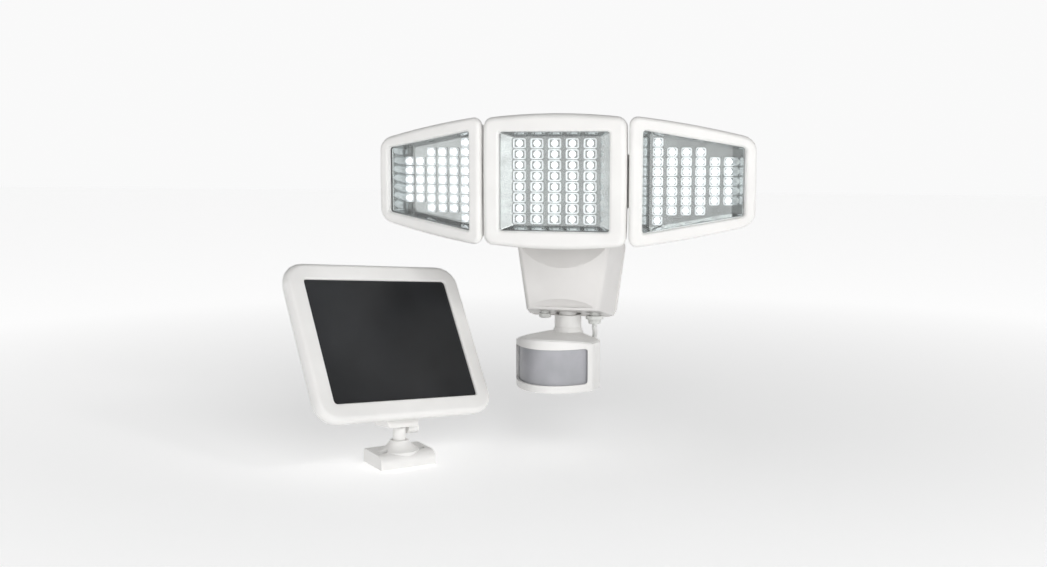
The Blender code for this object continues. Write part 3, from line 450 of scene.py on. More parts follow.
def outline(name, corners, radii, bows, depth, filled=True, cuts=7, steps=5):
    """A rounded outline in the front view: corners clockwise from the top left, edges bowed outwards."""
    piece = start(name, bpy.ops.mesh.primitive_plane_add, size=1.0, rotation=(90 * DEG, 0, 0))
    for old, corner in zip(((-500, 500), (500, 500), (500, -500), (-500, -500)), corners):
        here = (old[0], 0.0, old[1])
        pick(piece, "VERT", near(here))
        slide(Vector((corner[0], depth, corner[1])) - Vector(here))
    bpy.ops.mesh.select_mode(type="FACE")
    everything()
    bpy.ops.mesh.delete(type="ONLY_FACE")
    for i in range(4):
        first, last = Vector(corners[i]), Vector(corners[(i + 1) % 4])
        middle = (first + last) / 2
        spot = Vector((middle.x, depth, middle.y)) * MM
        pick(piece, "EDGE",
             lambda edge: ((edge.verts[0].co + edge.verts[1].co) / 2 - spot).length < 0.1 * MM)
        bpy.ops.mesh.subdivide(number_cuts=cuts)
        if bows[i]:
            along = (last - first).normalized()
            out = Vector((-along.y, along.x))
            if out.dot(middle - sum((Vector(c) for c in corners), Vector((0, 0))) / 4) < 0:
                out = -out
            pick(piece, "VERT", near((middle.x, depth, middle.y), 0.2))
            push((out.x * bows[i], 0, out.y * bows[i]), (last - first).length / 2)
    bpy.ops.mesh.select_mode(type="EDGE")
    everything()
    bpy.ops.mesh.edge_face_add()
    for corner, radius in zip(corners, radii):
        pick(piece, "VERT", near((corner[0], depth, corner[1]), 0.2))
        bpy.ops.mesh.bevel(offset=radius * MM, affect="VERTICES", segments=steps)
    if not filled:
        bpy.ops.mesh.select_mode(type="FACE")
        everything()
        bpy.ops.mesh.delete(type="ONLY_FACE")
    return done(piece)


def grown(corners, across, up):
    """Corners moved outwards by a margin."""
    middle = sum((Vector(corner) for corner in corners), Vector((0, 0))) / 4
    moved = []
    for x, z in corners:
        moved.append((x + math.copysign(across, x - middle.x), z + math.copysign(up, z - middle.y)))
    return moved


def between(outer, inner, point):
    """Whether a point in millimetres lies outside the line half way between two outlines."""
    mid = [(Vector(a) + Vector(b)) / 2 for a, b in zip(outer, inner)]
    share = (point.x - mid[0].x) / (mid[1].x - mid[0].x)
    tall = mid[0].y + (mid[1].y - mid[0].y) * share
    low = mid[3].y + (mid[2].y - mid[3].y) * share
    return share < 0 or share > 1 or point.z > tall or point.z < low


def ring(name, outer, radii, bows, inner, inner_radius, draws, lip, pocket, back, rounding, front=0.2):
    """A moulded frame: a rounded front round an opening, drafted sides, a lip and a pocket behind it.

    draws are (depth, shrink across, shrink up) steps of the outer wall; pocket is the ledge's width
    behind the lip.
    """
    frame_loop = outline(name, outer, radii, bows, front, filled=False)
    hole = outline(name + "_hole", inner, (inner_radius,) * 4, (0,) * 4, front, filled=False)
    piece = join([frame_loop, hole], name)
    edit(piece)
    bpy.ops.mesh.select_mode(type="EDGE")
    everything()
    bpy.ops.mesh.bridge_edge_loops()

    def is_outer(edge):
        return between(outer, inner, (edge.verts[0].co + edge.verts[1].co) / 2 / MM)

    middle = sum((Vector(corner) for corner in outer), Vector((0, 0))) / 4
    centre = (middle.x, 0, middle.y)
    pick(piece, "EDGE", lambda edge: edge.is_boundary and is_outer(edge))
    depth = front
    across, up = 1.0, 1.0
    for to, wide, tall in draws:
        extrude_rim((0, to - depth, 0), (wide / across, 1, tall / up), centre)
        depth, across, up = to, wide, tall
    pick(piece, "EDGE", lambda edge: edge.is_boundary and abs(edge.verts[0].co.y - front * MM) < 1e-6)
    extrude_rim((0, lip - front, 0))
    hole_middle = sum((Vector(corner) for corner in inner), Vector((0, 0))) / 4
    hole_centre = (hole_middle.x, 0, hole_middle.y)
    half = (abs(inner[1][0] - inner[0][0]) / 2, abs(inner[0][1] - inner[3][1]) / 2)
    extrude_rim((0, 0, 0), (1 + pocket / half[0], 1, 1 + pocket / half[1]), hole_centre)
    extrude_rim((0, back - lip, 0))
    pick(piece, "EDGE", lambda edge: edge.is_boundary)
    bpy.ops.mesh.bridge_edge_loops()
    outwards()

    def on_front(edge):
        return all(abs(vert.co.y - front * MM) < 1e-6 for vert in edge.verts) and any(
            abs(face.normal.y) < 0.7 for face in edge.link_faces)

    pick(piece, "EDGE", lambda edge: on_front(edge) and is_outer(edge))
    round_edges(rounding[0], 6)
    pick(piece, "EDGE", lambda edge: on_front(edge) and not is_outer(edge))
    round_edges(rounding[1], 5)
    pick(piece, "EDGE", lambda edge: all(vert.co.y > (back - 0.01) * MM for vert in edge.verts)
         and is_outer(edge) and any(abs(face.normal.y) < 0.5 for face in edge.link_faces))
    round_edges(0.5, 2)
    return done(piece)


def lathe(name, profile, middle, steps=40, axis=None):
    """A piece turned about a vertical axis; profile is (radius, height) from the bottom to the top."""
    piece = start(name, bpy.ops.mesh.primitive_cylinder_add, vertices=steps, radius=profile[0][0] * MM,
                  depth=(profile[1][1] - profile[0][1]) * MM,
                  location=(0, 0, (profile[1][1] + profile[0][1]) / 2 * MM))
    top = profile[1][1]
    pick(piece, "FACE", lambda face: face.normal.z > 0.9)
    radius = profile[0][0]
    resize((profile[1][0] / radius, profile[1][0] / radius, 1), (0, 0, top))
    radius = profile[1][0]
    for wide, high in profile[2:]:
        extrude((0, 0, high - top), (wide / radius, wide / radius, 1), (0, 0, high))
        radius, top = wide, high
    outwards()
    done()
    place(piece, shift(*middle) @ (axis or Matrix.Identity(4)))
    return piece


def block(name, low, high, edge=0.0, steps=3):
    """A cuboid with its edges rounded."""
    size = Vector(high) - Vector(low)
    piece = start(name, bpy.ops.mesh.primitive_cube_add, size=1.0, scale=size * MM,
                  location=(Vector(high) + Vector(low)) / 2 * MM)
    if edge:
        everything()
        round_edges(edge, steps)
    return done(piece)


# ---------------------------------------------------------------- sensor lead

LEAD_WAY = (
    (24.8, -40.0, -40.54), (24.8, -40.0, -42.24), (24.8, -40.0, -44.24), (24.4, -34.6, -49.8),
    (21.2, -23.4, -57.0), (16.4, -11.9, -65.0), (13.1, -6.1, -74.0), (12.0, -8.0, -80.6),
    (10.57, -13.14, -79.60), (9.94, -16.08, -79.00), (9.59, -17.74, -79.00))
LEAD_STEPS = 6
LEAD_HALF_WAY = 26
LEAD_RADIUS = 2.2


def smooth_way(way, steps):
    """Points in metres on a smooth curve through a route."""
    route = [Vector(point) * MM for point in way]
    points = [route[0]]
    for i in range(len(route) - 1):
        before, first = route[max(i - 1, 0)], route[i]
        last, after = route[i + 1], route[min(i + 2, len(route) - 1)]
        for k in range(1, steps + 1):
            t = k / steps
            points.append(0.5 * (
                2 * first + (last - before) * t + (2 * before - 5 * first + 4 * last - after) * t * t
                + (3 * first - before - 3 * last + after) * t ** 3))
    return points


def tube(name, points, radius, sides=16):
    """A round tube along points in metres: a bevelled curve with capped ends, made a mesh."""
    data = bpy.data.curves.new(name, "CURVE")
    data.dimensions = "3D"
    data.bevel_depth = radius * MM
    data.bevel_resolution = sides // 4
    data.use_fill_caps = True
    line = data.splines.new("POLY")
    line.points.add(len(points) - 1)
    for spot, point in zip(line.points, points):
        spot.co = (*point, 1.0)
    curve = bpy.data.objects.new(name, data)
    bpy.context.scene.collection.objects.link(curve)
    only(curve)
    bpy.ops.object.convert(target="MESH")
    piece = bpy.context.object
    edit(piece)
    outwards()
    return done(piece)


def make_lead():
    points = smooth_way(LEAD_WAY, LEAD_STEPS)
    upper = points[:LEAD_HALF_WAY + 1]
    lower = points[LEAD_HALF_WAY:]
    parts = (
        ("sensor_lead_upper", upper, "lamp_body", "sensor_ball"),
        ("sensor_lead_lower", lower, "sensor_ball", "sensor_head"))
    for name, line, first, second in parts:
        piece = tube(name, line, LEAD_RADIUS)
        piece.data.materials.append(PVC)
        bpy.ops.object.shade_smooth_by_angle(angle=40 * DEG)
        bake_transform(piece)
        if first == "lamp_body":
            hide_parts("sensor_lead")


make_lead()


# ---------------------------------------------------------------- lamp heads

HEAD_Z = 85.0
FACE_Y = -100.0
WING_FOLD = 18.4
WING_EDGE_X = 62.4
BEZEL_BACK = 14.0
LIP = 5.0
REFLECTOR_MOUTH = 8.3
MIRROR_WALL = 0.8
DOME_RADIUS = 2.5
TRAY_HEIGHT = 2.2


def square(half_wide, half_tall):
    return [(-half_wide, half_tall), (half_wide, half_tall), (half_wide, -half_tall), (-half_wide, -half_tall)]


def taper(side, first, last, first_tall, last_tall):
    """Corners of a side head's outline, from its inner edge to its outer edge."""
    return [(side * first, first_tall / 2), (side * last, last_tall / 2),
            (side * last, -last_tall / 2), (side * first, -first_tall / 2)]


def head_plans():
    plans = [{
        "name": "centre", "body": "centre_head", "matrix": shift(0, FACE_Y, HEAD_Z), "side": 1,
        "outer": square(60.0, 52.5), "radii": (7,) * 4, "bows": (3.6, 0.6, 3.6, 0.6),
        "inner": square(46.5, 41.0),
        "draws": ((7.0, 0.996, 0.996), (BEZEL_BACK, 0.987, 0.987)), "floor": square(37.5, 37.5), "depth": 14.0,
        "columns": (8,) * 5, "pitch": (15.0, 9.0), "first": -31.4, "cup": (5.5, 4.2)}]
    for name, side in (("left", -1), ("right", 1)):
        plans.append({
            "name": name, "body": name + "_head", "side": side,
            "matrix": shift(side * WING_EDGE_X, FACE_Y, HEAD_Z) @ turn(side * WING_FOLD, "Z"),
            "outer": taper(side, 0.0, 107.0, 110.0, 72.0), "radii": (8, 11, 11, 8),
            "bows": (1.8, 0.6, 1.8, 0.0), "inner": taper(side, 12.0, 97.0, 84.0, 56.0),
            "draws": ((7.0, 0.97, 0.966), (BEZEL_BACK, 0.914, 0.902)),
            "floor": taper(side, 21.0, 91.5, 78.0, 54.8), "depth": 22.0,
            "columns": (9, 7, 7, 7, 5, 5), "pitch": (12.0, 8.1), "first": 28.0, "cup": (4.4, 3.8)})
    return plans


def make_bezel(plan):
    piece = ring(plan["name"] + "_frame", plan["outer"], plan["radii"], plan["bows"], plan["inner"], 2.5,
                 plan["draws"], LIP, 1.9, BEZEL_BACK, (5.2, 2.4))
    place(piece, plan["matrix"])
    finish(piece, WHITE_ABS, plan["body"], "white_plastic", plan["name"] + "_bezel")


def columns_of(model, plan, name):
    """Copies a single small piece to every LED place: an array up each column."""
    pieces = []
    for index, rows in enumerate(plan["columns"]):
        x = plan["side"] * (plan["first"] + index * plan["pitch"][0])
        done()
        only(model)
        bpy.ops.object.duplicate(linked=False)
        column = bpy.context.object
        column.location = Vector((x, 0, -(rows - 1) / 2 * plan["pitch"][1])) * MM
        bpy.ops.object.transform_apply(location=True, rotation=False, scale=False)
        apply(column, "ARRAY", count=rows, use_relative_offset=False, use_constant_offset=True,
              constant_offset_displace=(0, 0, plan["pitch"][1] * MM))
        pieces.append(column)
    bpy.data.objects.remove(model)
    return join(pieces, name)


def make_reflector(plan):
    name = plan["name"]
    depth = plan["depth"]
    floor = outline(name + "_mirror", plan["floor"], (1.5,) * 4, (0,) * 4, depth)
    mouth = outline(name + "_mouth", grown(plan["inner"], 0.2, 0.2), (2.0,) * 4, (0,) * 4, REFLECTOR_MOUTH,
                    filled=False)
    piece = join([floor, mouth], name + "_mirror")
    edit(piece)
    pick(piece, "EDGE", lambda edge: edge.is_boundary or edge.is_wire)
    bpy.ops.mesh.bridge_edge_loops()
    pick(piece, "EDGE", lambda edge: edge.is_boundary)
    middle = sum((Vector(corner) for corner in plan["inner"]), Vector((0, 0))) / 4
    extrude_rim((0, 0, 0), (1.03, 1, 1.03), (middle.x, 0, middle.y))
    sharp(12)
    round_edges(0.9, 3)
    everything()
    bpy.ops.mesh.normals_make_consistent(inside=False)
    done()
    apply(piece, "SOLIDIFY", thickness=MIRROR_WALL * MM, offset=-1.0)
    clean(piece)
    # Each LED stands in its own mirrored tray.
    wide, tall = plan["cup"]
    cup = outline(name + "_tray", square(wide, tall), (1.6,) * 4, (0,) * 4, depth - 0.05, cuts=1, steps=2)
    edit(cup)
    everything()
    extrude((0, -TRAY_HEIGHT, 0), (0.985, 1, 0.985))
    bpy.ops.mesh.inset(thickness=0.4 * MM)
    extrude((0, 1.7, 0), (0.80, 1, 0.80))
    outwards()
    done()
    trays = columns_of(cup, plan, name + "_trays")
    piece.data.materials.clear()
    piece.data.materials.append(CHROME)
    trays.data.materials.clear()
    trays.data.materials.append(TRAY)
    piece = join([piece, trays], name + "_mirror")
    place(piece, plan["matrix"])
    finish(piece, None, plan["body"], "reflector", name + "_reflector", angle=25.0)


def make_leds(plan):
    name = plan["name"]
    depth = plan["depth"]
    dome = start(name + "_dome", bpy.ops.mesh.primitive_uv_sphere_add, segments=12, ring_count=8,
                 radius=DOME_RADIUS * MM, rotation=(90 * DEG, 0, 0))
    everything()
    bpy.ops.mesh.bisect(plane_co=(0, 0, 0), plane_no=(0, 1, 0), clear_outer=True, use_fill=False)
    pick(dome, "EDGE", lambda edge: edge.is_boundary)
    extrude_rim((0, 2.2, 0))
    extrude_rim((0, 0, 0), (1.16, 1, 1.16))
    extrude_rim((0, 1.0, 0))
    bpy.ops.mesh.edge_face_add()
    outwards()
    everything()
    slide((0, depth - 3.5, 0))
    domes = columns_of(done(dome), plan, name + "_domes")
    domes.data.materials.clear()
    domes.data.materials.append(EPOXY)
    board = outline(name + "_board", grown(plan["floor"], 3.0, 2.0), (2.0,) * 4, (0,) * 4, depth + 1.1, cuts=1)
    edit(board)
    everything()
    extrude((0, 1.6, 0))
    outwards()
    done()
    board.data.materials.clear()
    board.data.materials.append(WHITE_MASK)
    piece = join([domes, board], name + "_leds")
    place(piece, plan["matrix"])
    finish(piece, None, plan["body"], "led_board", name + "_led_board", angle=40.0, weigh=False)


for plan in head_plans():
    make_bezel(plan)
    make_reflector(plan)
    make_leds(plan)


# ---------------------------------------------------------------- battery body

BODY_TOP = 30.0
BODY_FRONT = -62.0
BODY_CORNER = -58.8
BODY_BACK = -18.0
COVER_BACK = -17.7
# The middles of what hangs under the body.
NECK_AT = (0.0, -34.0, 0.0)
SOCKET_AT = (-19.5, -40.0, 0.0)
GLAND_AT = (24.8, -40.0, 0.0)
SPIGOT = 3.8
NECK_SPIGOT = 8.0
# The ball that the sensor swivels on.
BALL_Z = -52.0
NECK_BALL = 13.9


def tapered_block(name, low_half, high_half, depths, heights):
    """A block whose width grows from the front to the back and from the bottom to the top."""
    piece = start(name, bpy.ops.mesh.primitive_cube_add, size=1.0)
    for side in (-1, 1):
        for end in (0, 1):
            for level, half in enumerate((low_half, high_half)):
                here = Vector((side, end * 2 - 1, level * 2 - 1)) * 500
                pick(piece, "VERT", near(here))
                slide(Vector((side * half[end], depths[end], heights[level])) - here)
    return done(piece)


def make_body_front():
    piece = start("body_front", bpy.ops.mesh.primitive_cube_add, size=1.0)
    corners = {
        (-1, -1, 1): (-40.5, BODY_CORNER, BODY_TOP), (1, -1, 1): (40.5, BODY_CORNER, BODY_TOP),
        (-1, -1, -1): (-31.8, BODY_CORNER, -26.0), (1, -1, -1): (31.8, BODY_CORNER, -26.0),
        (-1, 1, 1): (-47.4, BODY_BACK, BODY_TOP), (1, 1, 1): (47.4, BODY_BACK, BODY_TOP),
        (-1, 1, -1): (-38.4, BODY_BACK, -36.0), (1, 1, -1): (38.4, BODY_BACK, -36.0)}
    for signs, there in corners.items():
        here = Vector(signs) * 500
        pick(piece, "VERT", near(here))
        slide(Vector(there) - here)
    # The front bows out across its width.
    pick(piece, "EDGE", lambda edge: all(vert.co.y < -50 * MM for vert in edge.verts)
         and abs(edge.verts[0].co.z - edge.verts[1].co.z) < 1e-4)
    bpy.ops.mesh.subdivide(number_cuts=15)
    pick(piece, "VERT", lambda vert: vert.co.y < -50 * MM and abs(vert.co.x) < 0.1 * MM)
    push((0, BODY_FRONT - BODY_CORNER, 0), 40.0)
    pick(piece, "EDGE",
         lambda edge: all(vert.co.y < -50 * MM and abs(vert.co.x) > 31 * MM for vert in edge.verts)
         and abs(edge.verts[0].co.z - edge.verts[1].co.z) > 20 * MM)
    round_edges(7.0, 8)
    pick(piece, "EDGE", turn_edge(lambda face: face.normal.z < -0.7, lambda face: face.normal.z > -0.7
                                  and face.normal.y < 0.7))
    round_edges(3.0, 5)
    outwards()
    done()
    # The scoop at the top, and the shallow finger recess above the lip.
    scoop = start("scoop", bpy.ops.mesh.primitive_uv_sphere_add, segments=96, ring_count=48, radius=83.5 * MM,
                  location=(0, -133 * MM, 54 * MM))
    everything()
    resize((1.3, 1, 1), (0, -133, 54))
    done()
    combine(piece, scoop)
    recess = start("recess", bpy.ops.mesh.primitive_uv_sphere_add, segments=96, ring_count=48, radius=1.0)
    everything()
    resize((0.050, 0.012, 0.014), (0, 0, 0))
    slide((0, BODY_FRONT - 8.0, -27.0))
    bpy.ops.mesh.bisect(plane_co=(0, 0, -0.0238), plane_no=(0, 0, 1), clear_inner=True, use_fill=True)
    outwards()
    done()
    combine(piece, recess)
    edit(piece)
    outwards()
    pick(piece, "EDGE", lambda edge: all(vert.co.y < -49 * MM for vert in edge.verts)
         and edge.calc_face_angle(0) > 9 * DEG and any(abs(face.normal.x) < 0.6 for face in edge.link_faces))
    round_edges(0.6, 3)
    done()
    # Open at the back, so that the cells fit inside.
    hollow = tapered_block("hollow", (28.5, 34.8), (37.0, 43.8), (-56.5, -10.0), (-23.4, 6.0))
    combine(piece, hollow)
    hollow = tapered_block("hollow", (32.0, 40.0), (37.0, 43.8), (-49.5, -10.0), (-10.0, 27.5))
    combine(piece, hollow)
    for middle, radius in ((NECK_AT, NECK_SPIGOT + 0.4), (SOCKET_AT, SPIGOT + 0.3), (GLAND_AT, SPIGOT + 0.3)):
        hole = start("hole", bpy.ops.mesh.primitive_cylinder_add, vertices=32, radius=radius * MM,
                     depth=20 * MM, location=(middle[0] * MM, middle[1] * MM, -32 * MM))
        done()
        combine(piece, hole)
    clean(piece)
    finish(piece, SHADED_BODY_ABS, "lamp_body", "white_plastic", "body_front_shell", angle=24.0)


def make_body_back():
    corners = [(-48.8, 31.4), (48.8, 31.4), (39.8, -37.4), (-39.8, -37.4)]
    piece = outline("body_back", corners, (7,) * 4, (0,) * 4, COVER_BACK, cuts=1)
    edit(piece)
    everything()
    extrude((0, 2.9, 0))
    extrude((0, 4.8, 0), (0.925, 1, 0.90), (0, 0, -3))
    outwards()
    pick(piece, "EDGE", turn_edge(lambda face: face.normal.y < -0.9, lambda face: face.normal.y > -0.5))
    round_edges(0.9, 3)
    pick(piece, "EDGE", turn_edge(lambda face: face.normal.y > 0.9, lambda face: face.normal.y < 0.9))
    round_edges(1.2, 3)
    pick(piece, "FACE", lambda face: face.normal.y < -0.9)
    bpy.ops.mesh.inset(thickness=4.6 * MM)
    extrude((0, 5.4, 0), (0.96, 1, 0.96), (0, 0, -3))
    outwards()
    done()
    for x, z in ((-39.4, 24.6), (39.4, 24.6), (-27.5, -28.2), (27.5, -28.2)):
        pad = start("pad", bpy.ops.mesh.primitive_cylinder_add, vertices=24, radius=3.4 * MM, depth=5.6 * MM,
                    location=(x * MM, -14.3 * MM, z * MM), rotation=(90 * DEG, 0, 0))
        combine(piece, done(pad), "UNION")
        hole = start("hole", bpy.ops.mesh.primitive_cylinder_add, vertices=24, radius=1.8 * MM, depth=20 * MM,
                     location=(x * MM, -14 * MM, z * MM), rotation=(90 * DEG, 0, 0))
        combine(piece, done(hole))
    clean(piece)
    finish(piece, SHADED_BODY_ABS, "lamp_body", "white_plastic", "body_rear_cover", angle=30.0)


make_body_front()
make_body_back()


def make_neck():
    neck = lathe("neck", (
        (11.6, -44.2), (11.8, -44.0), (11.8, -33.4), (NECK_SPIGOT, -33.2), (NECK_SPIGOT, -28.2)), NECK_AT, 56)
    cup = start("cup", bpy.ops.mesh.primitive_uv_sphere_add, segments=64, ring_count=32,
                radius=(NECK_BALL + 0.4) * MM,
                location=Vector((NECK_AT[0], NECK_AT[1], BALL_Z)) * MM)
    combine(neck, done(cup))
    combine(neck, lathe("bore", ((5.9, -45.0), (5.9, -36.0)), NECK_AT, 32))
    clean(neck)
    finish(neck, WHITE_ABS, "lamp_body", "white_plastic", "neck_post")


def make_gland():
    gland = lathe("cable_gland", (
        (3.1, -40.2), (5.0, -40.1), (5.4, -39.6), (5.7, -36.4), (7.4, -36.2), (7.8, -35.8), (7.8, -33.4),
        (7.4, -32.9), (SPIGOT, -32.8), (SPIGOT, -28.2)), GLAND_AT)
    finish(gland, PALE_ABS, "lamp_body", "grey_plastic", "lead_gland")


def make_socket():
    socket = lathe("charging_socket", (
        (4.4, -36.1), (5.2, -35.4), (5.4, -34.8), (5.4, -32.2), (SPIGOT, -32.0), (SPIGOT, -28.2)), SOCKET_AT)
    finish(socket, PALE_ABS, "lamp_body", "grey_plastic", "solar_socket")


make_neck()
make_gland()
make_socket()


# ---------------------------------------------------------------- motion sensor

SENSOR_TURN = -12.0
SENSOR = shift(NECK_AT[0], NECK_AT[1], BALL_Z) @ turn(SENSOR_TURN, "Z")
# The front is part of an oval: its half width, its half depth and where its middle is.
FRONT_ARC = (44.0, 68.0, 8.0)
ARC_END = -29.5
SENSOR_HALF = 36.0
SENSOR_NOSE = 60.0
# The width of the back as a share of the front's.
BACK_SHARE = 1 / 3


def half_oval(name, half, nose, low, high, back):
    """A solid with an arched front that ends in an edge at each side, a straight back and level ends."""
    wide, deep, centre = FRONT_ARC
    piece = start(name, bpy.ops.mesh.primitive_cylinder_add, vertices=144, radius=1.0, depth=(high - low) * MM,
                  location=(0, 0, (high + low) / 2 * MM))
    everything()
    resize(((wide - SENSOR_HALF + half) * MM, (deep - SENSOR_NOSE + nose) * MM, 1), (0, 0, 0))
    slide((0, centre, 0))
    for side in (-1, 1):
        everything()
        bpy.ops.mesh.bisect(plane_co=(side * half * MM, 0, 0), plane_no=(side, 0, 0), clear_outer=True,
                            use_fill=True)
    everything()
    bpy.ops.mesh.bisect(plane_co=(0, ARC_END * MM, 0), plane_no=(0, 1, 0), clear_outer=True, use_fill=True)
    pick(piece, "FACE", lambda face: face.normal.y > 0.9)
    extrude((0, back - ARC_END, 0))
    return piece


def sensor_solid(name):
    """The whole sensor housing in one: an arched front, a tapered back and a low roof."""
    piece = half_oval(name, SENSOR_HALF, SENSOR_NOSE, -42.0, -1.2, -11.0)
    pick(piece, "FACE", lambda face: face.normal.y > 0.9)
    extrude((0, 25.0, 0), (BACK_SHARE, 1, 1), (0, 0, 0))
    pick(piece, "FACE", lambda face: face.normal.z > 0.9)
    bpy.ops.mesh.inset(thickness=1.2 * MM)
    extrude((0, 0, 1.0), (0.985, 0.985, 1), (0, -12.0, 0))
    extrude((0, 0, 4.2), (0.46, 0.50, 1), (0, 0, 0))
    # The eave over the lens is arched.
    pick(piece, "VERT", lambda vert: vert.co.y < -59.6 * MM and vert.co.z > -3 * MM)
    push((0, 0, 4.4), 42.0)
    outwards()
    pick(piece, "EDGE", lambda edge: all(vert.co.y > -12 * MM for vert in edge.verts)
         and abs(edge.verts[0].co.z - edge.verts[1].co.z) > 20 * MM)
    round_edges(4.0, 5)
    pick(piece, "EDGE", turn_edge(lambda face: face.normal.z < -0.7, lambda face: face.normal.z > -0.7))
    round_edges(1.6, 4)
    return done(piece)


def make_sensor():
    front = sensor_solid("sensor_shade")
    edit(front)
    everything()
    bpy.ops.mesh.bisect(plane_co=(0, -0.0243, 0), plane_no=(0, 1, 0), clear_outer=True, use_fill=True)
    outwards()
    done()
    hollow = half_oval("hollow", 33.8, 57.8, -39.8, -4.0, -20.0)
    combine(front, done(hollow))
    window = block("window", (-33.6, -90.0, -35.0), (33.6, -32.5, -4.4), 2.2)
    combine(front, window)
    edit(front)
    outwards()
    sharp(50)
    round_edges(0.4, 3)
    done()
    place(front, SENSOR)
    finish(front, WHITE_ABS, "sensor_head", "white_plastic", "sensor_front", angle=19.0)

    rear = sensor_solid("sensor_back")
    edit(rear)
    everything()
    bpy.ops.mesh.bisect(plane_co=(0, -0.0240, 0), plane_no=(0, 1, 0), clear_inner=True, use_fill=True)
    outwards()
    done()
    dome = start("dome", bpy.ops.mesh.primitive_uv_sphere_add, segments=64, ring_count=32,
                 radius=NECK_BALL * MM)
    everything()
    bpy.ops.mesh.bisect(plane_co=(0, 0, 0), plane_no=(0, 0, 1), clear_inner=True, use_fill=True)
    combine(rear, done(dome), "UNION")
    hollow = tapered_block("hollow", (33.8, 33.8), (33.8, 33.8), (-40.0, -12.0), (-39.5, -4.0))
    combine(rear, hollow)
    socket = start("socket", bpy.ops.mesh.primitive_uv_sphere_add, segments=48, ring_count=24, radius=8.0 * MM)
    combine(rear, done(socket))
    mouth = lathe("mouth", ((6.4, 0.0), (10.4, 16.0)), (0, 0, 0))
    combine(rear, mouth)
    for x in (-16.0, 0.0):
        hole = lathe("hole", ((2.2, -46.0), (2.2, -36.0)), (x, -8.0, 0))
        combine(rear, hole)
    combine(rear, block("slot", (10.4, -9.7, -46.0), (20.6, -6.3, -36.0), 0.8))
    clean(rear)
    place(rear, SENSOR)
    finish(rear, WHITE_ABS, "sensor_head", "white_plastic", "sensor_rear", angle=30.0)

    lens = half_oval("motion_lens", 33.5, 57.2, -37.4, -3.0, -29.0)
    done()
    inner = half_oval("inner", 32.4, 56.1, -39.0, 0.0, -26.0)
    combine(lens, done(inner))
    clean(lens)
    place(lens, SENSOR)
    finish(lens, LENS, "sensor_head", "sensor_lens", "sensor_lens", angle=30.0)


make_sensor()


# ---------------------------------------------------------------- solar panel

# The ball at the top of the stem, and the ground under the base.
STEM_BALL_AT = (-128.5, -120.0, -117.9)
GROUND_Z = -153.5
BASE_TURN = 43.4
PANEL = shift(*STEM_BALL_AT) @ turn(59.4, "Z") @ turn(-29.9, "X") @ turn(6.0, "Y")
PANEL_PLACE = PANEL @ shift(0, -22.0, 67.3)
# The clamp screw's head, from the ball.
SCREW_HEAD_AT = (15.0, 2.6, -5.0)


def make_panel():
    outer = square(91.5, 70.8)
    frame_piece = ring("panel_frame", outer, (20,) * 4, (0,) * 4, square(75.25, 55.25), 3.0,
                       ((6.0, 1.0, 1.0), (10.0, 0.992, 0.99)), 2.2, 2.6, 10.0, (5.0, 1.4), front=0.0)
    place(frame_piece, PANEL_PLACE)
    finish(frame_piece, WHITE_ABS, "panel", "white_plastic", "panel_bezel")

    cover = outline("panel_back", square(90.5, 69.8), (19,) * 4, (0,) * 4, 10.3, cuts=1, steps=8)
    edit(cover)
    everything()
    extrude((0, 4.2, 0), (0.975, 1, 0.968))
    outwards()
    pick(cover, "EDGE", turn_edge(lambda face: face.normal.y > 0.9, lambda face: face.normal.y < 0.9))
    round_edges(1.8, 4)
    done()
    place(cover, PANEL_PLACE)
    finish(cover, WHITE_ABS, "panel", "white_plastic", "panel_rear_cover")

    boss = outline("clamp_boss", [(-19.6, 14.0), (19.6, 14.0), (12.0, -10.4), (-17.0, -10.4)], (3, 3, 7, 6),
                   (0,) * 4, -7.2, cuts=1, steps=6)
    edit(boss)
    everything()
    extrude((0, 16.6, 0))
    extrude((0, 2.4, 0), (0.84, 1, 0.82), (0, 0, 1))
    outwards()
    pick(boss, "EDGE", turn_edge(lambda face: face.normal.y > 0.9, lambda face: face.normal.y < 0.9))
    round_edges(0.8, 3)
    # The underside is cut off, about 5 degrees from level.
    everything()
    bpy.ops.mesh.bisect(plane_co=(0, 0.0013, -0.0027), plane_no=(0, -0.4985, 0.8669), clear_inner=True,
                        use_fill=True)
    outwards()

    def sloping(face):
        return -0.88 < face.normal.z < -0.8

    pick(boss, "EDGE", turn_edge(lambda face: sloping(face) and face.normal.y > 0.4,
                                 lambda face: not sloping(face)))
    round_edges(1.6, 4)
    done()
    ball = start("pocket", bpy.ops.mesh.primitive_uv_sphere_add, segments=32, ring_count=16, radius=7.2 * MM)
    combine(boss, done(ball))
    combine(boss, block("slot", (-5.8, -5.8, -30.0), (5.8, 30.0, 5.8), 2.0))
    # A round lug keeps the clamp screw covered where the boss slopes away under it.
    combine(boss, lathe("lug", ((4.8, -8.0), (4.8, 2.8)), SCREW_HEAD_AT, axis=turn(90, "Y")), "UNION")
    combine(boss, lathe("pit", ((3.6, 0.0), (3.6, 15.0)), SCREW_HEAD_AT, axis=turn(90, "Y")))
    clean(boss)
    place(boss, PANEL)
    finish(boss, WHITE_ABS, "panel", "white_plastic", "ball_clamp")


